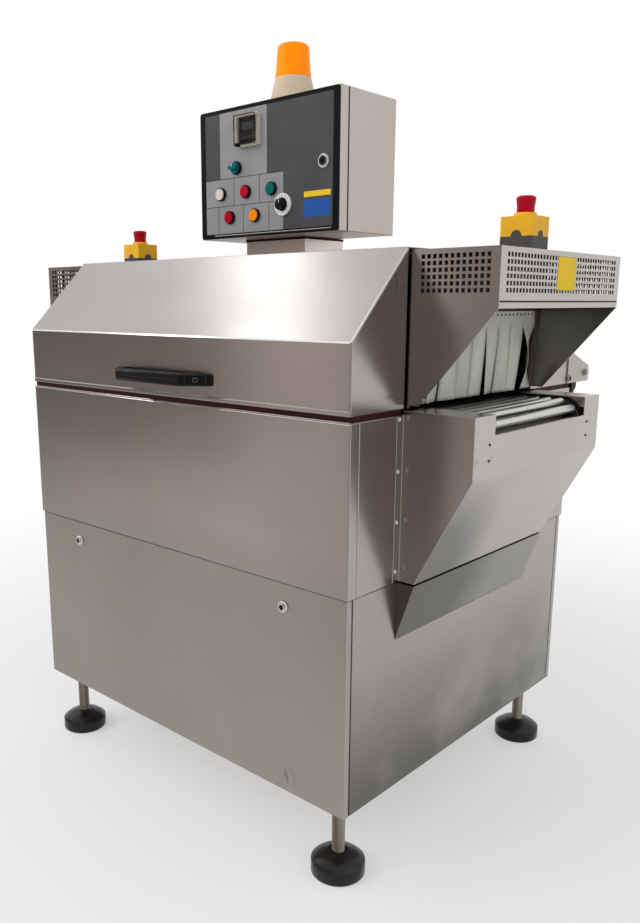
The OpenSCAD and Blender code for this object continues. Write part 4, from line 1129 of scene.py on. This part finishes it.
class TUNNEL_OT_fasteners(Operator):
    """Set the screws and bolts of the base panels, the chutes, the rear brackets and the guards"""

    bl_idname = "tunnel.fasteners"
    bl_label = "Fasteners"

    def execute(self, context):
        sizes = context.scene.tunnel_fasteners
        lock_h, flange_h, plate_h, bolt_h, toe_h = 0.0065, 0.0035, 0.0018, 0.008, 0.006
        lock_socket, plate_socket, flange_steps = 0.42, 0.5, 20
        flange_z, plate_y, plate_z = (0.627, 0.724, 0.821, 0.918), (-0.2485, 0.1635), (0.8505, 0.880)
        faces = {"front": (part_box("base_front_panel")[0].y, -1), "rear": (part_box("base_rear_panel")[1].y, 1)}
        for name, (y, way) in faces.items():
            locks = Shape()
            for side in SIDES:
                place = facing((side * sizes.lock_x, y, sizes.lock_z), (0, way, 0))
                socket_screw(locks, place, sizes.lock_d, lock_h, lock_socket)
            piece(f"base_{name}_fasteners", locks, "tunnel", "bezel_metal", "bright screw", "dark socket")

        flange = Shape()
        plate = Shape()
        low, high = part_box("chute_sides")
        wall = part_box("tank_end_walls")[1].x
        cheek_t, flange_inset = 0.002, 0.007
        for side in SIDES:
            for y in (low.y + flange_inset, high.y - flange_inset):
                for z in flange_z:
                    place = on_end(side, wall + cheek_t, y, z)
                    dome(flange, place, sizes.flange_d, flange_h, flange_steps)
            for y in plate_y:
                for z in plate_z:
                    socket_screw(plate, on_end(side, high.x, y, z), sizes.plate_d, plate_h, plate_socket)
        piece("chute_flange_screws", flange, "tunnel", "bezel_metal", "bright screw")
        piece("chute_plate_screws", plate, "tunnel", "chain_steel", "oiled chain", "dark socket")

        bolts = Shape()
        eyes = Shape()
        low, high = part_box("rear_brackets")
        bolt_y, bolt_z, eye_z = high.y - 0.0215, 0.958, 0.9475
        eye_r = sizes.eye_d / 2
        bore, floor_r = eye_r * 0.68, eye_r * 0.67
        ring_h, bore_low, floor_low, floor_high = 0.0025, 0.0008, 0.0009, 0.0012
        for side in SIDES:
            hexagon_bolt(bolts, on_end(side, high.x, bolt_y, bolt_z), sizes.bolt_d, bolt_h)
            place = on_end(side, high.x, low.y + eye_r, eye_z)
            eyes.finish = 0
            eyes.revolve([(eye_r, 0.0), (eye_r, ring_h), (bore, ring_h), (bore, bore_low)], place)
            # The dark floor in the eye's bore is painted shade
            eyes.finish = 1
            eyes.revolve([(floor_r, floor_low), (floor_r, floor_high)], place)
        piece("bracket_bolts", bolts, "tunnel", "zinc_steel", "dull zinc")
        piece("bracket_eyes", eyes, "tunnel", "zinc_steel", "dull zinc", "dark socket")

        toes = Shape()
        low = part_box("guard_front_plates")[0]
        toe_x, toe_z = wall + 0.037, low.z + 0.012
        for side in SIDES:
            hexagon_bolt(toes, facing((side * toe_x, low.y, toe_z), (0, -1, 0)), sizes.toe_d, toe_h)
        piece("guard_toe_bolts", toes, "tunnel", "bezel_metal", "dull zinc")
        return {"FINISHED"}


class TUNNEL_OT_seams(Operator):
    """Lay a dark strip in the seam low on the guard ends as a painted shadow, and bright beads along the tank's
    upper edge and the bends of the cover as painted highlights
    """

    bl_idname = "tunnel.seams"
    bl_label = "Seams"

    def execute(self, context):
        low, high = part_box("guard_end_plates")
        hem_h, seam_h, groove, inset = 0.013, 0.003, 0.0012, 0.002
        # A dark strip in the groove of each guard end's hem: painted shadow of the seam
        seams = Shape()
        for side in SIDES:
            ends = sorted((side * (high.x - groove), side * (high.x - groove * 0.6)))
            seams.slab((ends[0], low.y + inset, low.z + hem_h - seam_h),
                       (ends[1], high.y - inset, low.z + hem_h))
        piece("guard_seams", seams, "tunnel", "guard_steel", "dark socket")

        low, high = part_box("tank_front_wall")
        lip_h, lip, proud = 0.0034, 0.0018, 0.0003
        # A bright bead along the tank's upper edge: painted highlight
        edge = Shape()
        rows = []
        for x in (low.x + lip, high.x - lip):
            rows.append([(x, low.y - proud, high.z - lip_h), (x, low.y + lip, high.z + proud),
                         (x, low.y + lip, high.z - lip_h)])
        edge.solid(rows)
        piece("tank_edge", edge, "tunnel", "stainless", "polished edge")

        low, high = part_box("cover_skin")
        foot = Vector((0.0, low.y, COVER_BEND_Z))
        top = Vector((0.0, COVER_TOP_Y, high.z))
        along = (top - foot).normalized()
        outward = Vector((0.0, -along.z, along.y))
        # Bright beads along the cover's bend and its slanted edges: painted highlight
        bends = Shape()
        rows = []
        for x in (low.x + lip, high.x - lip):
            end = Vector((x, 0.0, 0.0)) + foot
            rows.append([end + Vector((0.0, -proud, -lip)), end + along * lip + outward * proud,
                         end + Vector((0.0, lip, 0.0))])
        bends.solid(rows)
        for side in SIDES:
            inward = Vector((-side * lip, 0.0, 0.0))
            rows = []
            for end in (foot + along * lip, top - along * 2 * lip):
                corner = end + Vector((side * high.x, 0.0, 0.0))
                rows.append([corner + Vector((side * proud, 0.0, 0.0)) - outward * lip,
                             corner + inward + outward * proud, corner + inward - outward * lip])
            bends.solid(rows)
        piece("cover_bends", bends, "front_cover", "stainless", "polished edge")
        return {"FINISHED"}


class TUNNEL_OT_plates(Operator):
    """Set the plain yellow plates on the guard ends"""

    bl_idname = "tunnel.plates"
    bl_label = "Yellow plates"

    def execute(self, context):
        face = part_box("guard_end_plates")[1].x
        width, height, corner, y, z = 0.076, 0.060, 0.002, -0.040, 1.180
        sunk, proud = 0.0004, 0.0002
        plates = Shape()
        for side in SIDES:
            plates.prism(rounded(width, height, corner), -sunk, proud, on_end(side, face, y, z))
        piece("yellow_plates", plates, "tunnel", "yellow_plastic", "yellow plate")
        return {"FINISHED"}


class TUNNEL_OT_panel_film(Operator):
    """Lay the two-tone film with its black border on the control panel"""

    bl_idname = "tunnel.panel_film"
    bl_label = "Panel film"

    def execute(self, context):
        panel = context.scene.tunnel_panel
        low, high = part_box("control_panel")
        width, height = high.x - low.x, high.z - low.z
        place = on_front(low, high, low.y)
        film_t, line = panel.film_t, panel.line_w
        left, right = panel.side_border - width / 2, width / 2 - panel.side_border
        bottom, top = panel.low_border - height / 2, height / 2 - panel.top_border
        border, light, pale, blue, yellow = range(5)
        film = Shape()

        def field(finish, x0, x1, z0, z1, layer=0):
            """A printed rectangle between two sides and two heights, on one of the film's layers."""
            film.finish = finish
            film.prism(rectangle(x0, x1, z0, z1), layer * film_t, (layer + 1) * film_t, place)

        outer_r, inner_r = 0.008, 0.004
        inner = rounded(right - left, top - bottom, inner_r, ((left + right) / 2, (top + bottom) / 2))
        film.frame(rounded(width, height, outer_r), inner, 0.0, film_t, place)
        meter_left, meter_right = left + 0.052, left + 0.210
        button_right, button_top = left + 0.262, bottom + 0.128
        field(light, meter_left, meter_right, button_top, top)
        field(light, left, button_right, bottom, button_top)
        row, upper_columns, lower_columns = bottom + 0.064, (0.099, 0.185), (0.044, 0.130, 0.216)
        for z in (row, button_top):
            field(border, left, button_right, z, z + line, 1)
        for columns, low_z, high_z in ((upper_columns, row, button_top), (lower_columns, bottom, row)):
            for x in columns:
                field(border, left + x, left + x + line, low_z, high_z, 1)
        # A pale line in the lower border: painted highlight
        highlight_low, highlight_high = bottom - 0.0045, bottom - 0.0035
        field(pale, left + 0.030, right - 0.004, highlight_low, highlight_high, 1)
        bar_left, bar_right = right - 0.084, right - 0.006
        field(blue, bar_left, bar_right, bottom + 0.022, bottom + 0.060)
        field(yellow, bar_left, bar_right, bottom + 0.066, bottom + 0.078)
        piece("panel_film", film, "box_door", "panel_grey", "film border", "film light", "film line",
              "film blue", "film yellow")
        return {"FINISHED"}


class TUNNEL_OT_instrument(Operator):
    """Build the instrument: its pale frame, the dark face with its keys, and the clear cover in front"""

    bl_idname = "tunnel.instrument"
    bl_label = "Instrument"

    def execute(self, context):
        low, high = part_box("instrument")
        width, height = high.x - low.x, high.z - low.z
        depth = high.y - low.y
        frame_t, rim, wall = 0.012, 0.006, 0.002
        corner, frame_r, cover_r, window_r = 0.002, 0.003, 0.004, 0.003
        face_low, face_high, display_t, key_t, pane_inset = 0.001, 0.006, 0.0008, 0.0016, 0.0002
        back = on_front(low, high, high.y)
        opening = rounded(width - 2 * rim, height - 2 * rim, corner)
        body = Shape()
        body.frame(rounded(width, height, frame_r), opening, 0.0, frame_t, back)
        made = piece("instrument_frame", body, "box_door", "beige_plastic", "silver moulding", edge=THIN_EDGE)
        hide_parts("instrument")

        face = Shape()
        face.prism(opening, face_low, face_high, back)
        face.finish = 1
        display = rounded(width * 0.56, height * 0.24, corner, (0.0, height * 0.14))
        face.prism(display, face_high, face_high + display_t, back)
        face.finish = 2
        keys = 4
        for step in range(keys):
            x = (step - (keys - 1) / 2) * width * 0.16
            key = rounded(width * 0.11, height * 0.09, corner, (x, -height * 0.22))
            face.prism(key, face_high, face_high + key_t, back)
        piece("instrument_face", face, "box_door", "instrument_black", "black moulding", "film field",
              "grey moulding")

        cover = Shape()
        wide, tall = width - 2 * wall, height - 2 * wall
        window = rounded(wide - 2 * wall, tall - 2 * wall, window_r)
        cover.frame(rounded(wide, tall, cover_r), window, frame_t, depth, back)
        cover.prism(window, depth - wall, depth - pane_inset, back)
        piece("instrument_cover", cover, "box_door", "instrument_black", "clear pane")

        catch = Shape()
        outline = rounded(0.010, 0.007, 0.001, (-width / 2 + 0.010, -height / 2 + 0.004))
        catch.prism(outline, frame_t, depth, back)
        piece("instrument_catch", catch, "box_door", "instrument_black", "black moulding", edge=SMALL_EDGE)
        return {"FINISHED"}


class TUNNEL_OT_control_marks(Operator):
    """Add the dial's ticks and the marks on the selector and the dial knob"""

    bl_idname = "tunnel.control_marks"
    bl_label = "Control marks"

    def execute(self, context):
        panel = context.scene.tunnel_panel
        low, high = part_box("dial_knob")
        ticks = Shape()
        tick_w, tick_t, tick_count, first_tick, tick_step = 0.0004, 0.0002, 11, 135, 27
        outline = rectangle(-tick_w, tick_w, panel.tick_low, panel.tick_high)
        for step in range(tick_count):
            angle = math.radians(first_tick - tick_step * step)
            place = on_front(low, high, high.y) @ Matrix.Rotation(angle, 4, "Z")
            ticks.prism(outline, -tick_t, tick_t, place)
        piece("dial_ticks", ticks, "box_door", "instrument_black", "film border")

        half, mark_t = panel.mark_w / 2, 0.0004
        marks = (
            ("dial_pointer", "dial_knob", "dial", 0.003, 0.013),
            ("selector_index", "selector_knob", "selector", 0.001, 0.009),
        )
        for name, knob, body, start, end in marks:
            low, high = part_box(knob)
            mark = Shape()
            mark.prism(rectangle(-half, half, start, end), -mark_t, mark_t, on_front(low, high, low.y))
            piece(name, mark, body, "white_lens", "white lens")
        return {"FINISHED"}


class TUNNEL_OT_seals(Operator):
    """Lay the door's seal in the control box and the red seal on the column"""

    bl_idname = "tunnel.seals"
    bl_label = "Seals"

    def execute(self, context):
        low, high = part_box("control_box")
        width, height = high.x - low.x, high.z - low.z
        gap, inset, reach, corner = 0.0006, 0.003, 0.032, 0.004
        seal_t = low.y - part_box("control_door")[1].y - gap
        door_seal = Shape()
        door_seal.frame(rounded(width - inset, height - inset, corner),
                        rounded(width - reach, height - reach, corner),
                        0.0, seal_t, on_front(low, high, low.y))
        piece("door_seal", door_seal, "tunnel", "black_plastic", "grey moulding")

        low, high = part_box("control_column")
        wide, deep = high.x - low.x, high.y - low.y
        middle = ((low.x + high.x) / 2, (low.y + high.y) / 2)
        lap, seal_h = 0.004, 0.005
        column_seal = Shape()
        column_seal.frame(rounded(wide + lap, deep + lap, 0.003, middle),
                          rounded(wide - lap, deep - lap, 0.001, middle), high.z - seal_h, high.z)
        piece("column_seal", column_seal, "tunnel", "seal_rubber", "red silicone")
        return {"FINISHED"}


class TUNNEL_OT_threads(Operator):
    """Cut the thread of the four levelling spindles"""

    bl_idname = "tunnel.threads"
    bl_label = "Spindle threads"

    def execute(self, context):
        low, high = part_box("foot_spindles")
        nut_h, nut_reach_x, nut_reach_y = 0.018, 0.021, 0.01819
        root_r, crest, pitch = 0.0126, 0.0009, 0.003
        steps, rows_a_turn = 20, 4
        bottom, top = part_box("foot_pads")[1].z, high.z - nut_h
        count = int((top - bottom) / pitch * rows_a_turn) + 1
        thread = Shape()
        for x in (nut_reach_x - high.x, high.x - nut_reach_x):
            for y in (low.y + nut_reach_y, high.y - nut_reach_y):
                rows = []
                for row in range(count):
                    z = min(bottom + row * pitch / rows_a_turn, top)
                    points = []
                    for step in range(steps):
                        angle = math.tau * step / steps
                        wave = abs((row / rows_a_turn - step / steps) % 1.0 - 0.5) * 2
                        reach = root_r + crest * wave
                        points.append((x + reach * math.cos(angle), y + reach * math.sin(angle), z))
                    rows.append(points)
                thread.solid(rows)
        piece("spindle_threads", thread, "tunnel", "zinc_steel", "worn thread")
        return {"FINISHED"}


class TUNNEL_OT_beacon_ribs(Operator):
    """Set the upright flutes into the beacon's lens"""

    bl_idname = "tunnel.beacon_ribs"
    bl_label = "Beacon ribs"

    def execute(self, context):
        low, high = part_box("beacon_lens")
        centre = (low + high) / 2
        foot_r = (high.x - low.x) / 2
        lens_h = high.z - low.z
        count, sides, rib_r, run_out, narrowing, rib_share = 26, 9, 0.0018, 0.004, 0.009, 0.62
        rib_low, rib_high = low.z + run_out, low.z + lens_h * rib_share
        ribs = Shape()
        for step in range(count):
            angle = math.tau * step / count
            out = Vector((math.cos(angle), math.sin(angle), 0.0))
            aside = Vector((-out.y, out.x, 0.0))
            rows = []
            for z, thin in ((rib_low, 1.0), (rib_high - run_out, 1.0), (rib_high, 0.55)):
                reach = foot_r - narrowing * (z - low.z) / lens_h - rib_r / 2
                middle = Vector((centre.x, centre.y, z)) + out * reach
                row = []
                for side in range(sides):
                    around = math.tau * side / sides
                    row.append(middle + rib_r * thin * (out * math.cos(around) + aside * math.sin(around)))
                rows.append(row)
            ribs.solid(rows)
        piece("beacon_ribs", ribs, "tunnel", "amber_lens", "amber lens")
        return {"FINISHED"}


class TUNNEL_OT_handle_trim(Operator):
    """Sink the two screws into the legs of the handle, each in its rim, and draw the bar's middle line"""

    bl_idname = "tunnel.handle_trim"
    bl_label = "Handle trim"

    def execute(self, context):
        low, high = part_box("cover_handle")
        middle = (low.z + high.z) / 2
        leg_x, leg_depth, slope = 0.1285, 0.0215, math.atan2(0.045, 0.055)
        screw_d, screw_h, socket = 0.011, 0.0022, 0.6
        rim_low, rim_high = -0.0003, 0.0006
        outer, inner = rounded(0.044, 0.020, 0.003), rounded(0.0416, 0.0176, 0.002)
        screws = Shape()
        rims = Shape()
        for side in SIDES:
            normal = (side * math.sin(slope), -math.cos(slope), 0.0)
            place = facing((side * leg_x, low.y + leg_depth, middle), normal)
            socket_screw(screws, place, screw_d, screw_h, socket)
            rims.frame(outer, inner, rim_low, rim_high, place)
        line_x, line_y, line_h = 0.098, 0.0003, 0.0006
        rims.slab((-line_x, low.y - line_y, middle - line_h), (line_x, low.y + line_y, middle + line_h))
        piece("handle_screws", screws, "front_cover", "black_plastic", "grey moulding", "black moulding")
        # The rims and the bar's line are a lighter black than the handle, partly a painted highlight along their
        # raised edges
        piece("handle_rims", rims, "front_cover", "black_plastic", "black rubber")
        return {"FINISHED"}


STEPS = (
    TUNNEL_OT_finishes,
    TUNNEL_OT_stage,
    TUNNEL_OT_casings,
    TUNNEL_OT_conveyor,
    TUNNEL_OT_mouldings,
    TUNNEL_OT_curtains,
    TUNNEL_OT_curtain_rails,
    TUNNEL_OT_fasteners,
    TUNNEL_OT_seams,
    TUNNEL_OT_plates,
    TUNNEL_OT_panel_film,
    TUNNEL_OT_instrument,
    TUNNEL_OT_control_marks,
    TUNNEL_OT_seals,
    TUNNEL_OT_threads,
    TUNNEL_OT_beacon_ribs,
    TUNNEL_OT_handle_trim,
)


class TUNNEL_PT_steps(Panel):
    """Steps that dress the tunnel"""

    bl_idname = "TUNNEL_PT_steps"
    bl_label = "Heat shrink tunnel"
    bl_space_type = "VIEW_3D"
    bl_region_type = "UI"
    bl_category = "Shrink tunnel"

    def draw(self, context):
        for step in STEPS:
            self.layout.operator(step.bl_idname)
        for group in GROUPS:
            settings = getattr(context.scene, group)
            box = self.layout.box()
            for name in settings.__annotations__:
                box.prop(settings, name)


def register():
    """Adds the settings, the steps and the panel to Blender."""
    for name, group in GROUPS.items():
        bpy.utils.register_class(group)
        setattr(bpy.types.Scene, name, PointerProperty(type=group))
    for step in STEPS:
        bpy.utils.register_class(step)
    bpy.utils.register_class(TUNNEL_PT_steps)


def unregister():
    """Takes them out again."""
    bpy.utils.unregister_class(TUNNEL_PT_steps)
    for step in reversed(STEPS):
        bpy.utils.unregister_class(step)
    for name, group in GROUPS.items():
        delattr(bpy.types.Scene, name)
        bpy.utils.unregister_class(group)


def main():
    register()
    for step in STEPS:
        family, action = step.bl_idname.split(".")
        getattr(getattr(bpy.ops, family), action)()


if __name__ == "__main__":
    main()
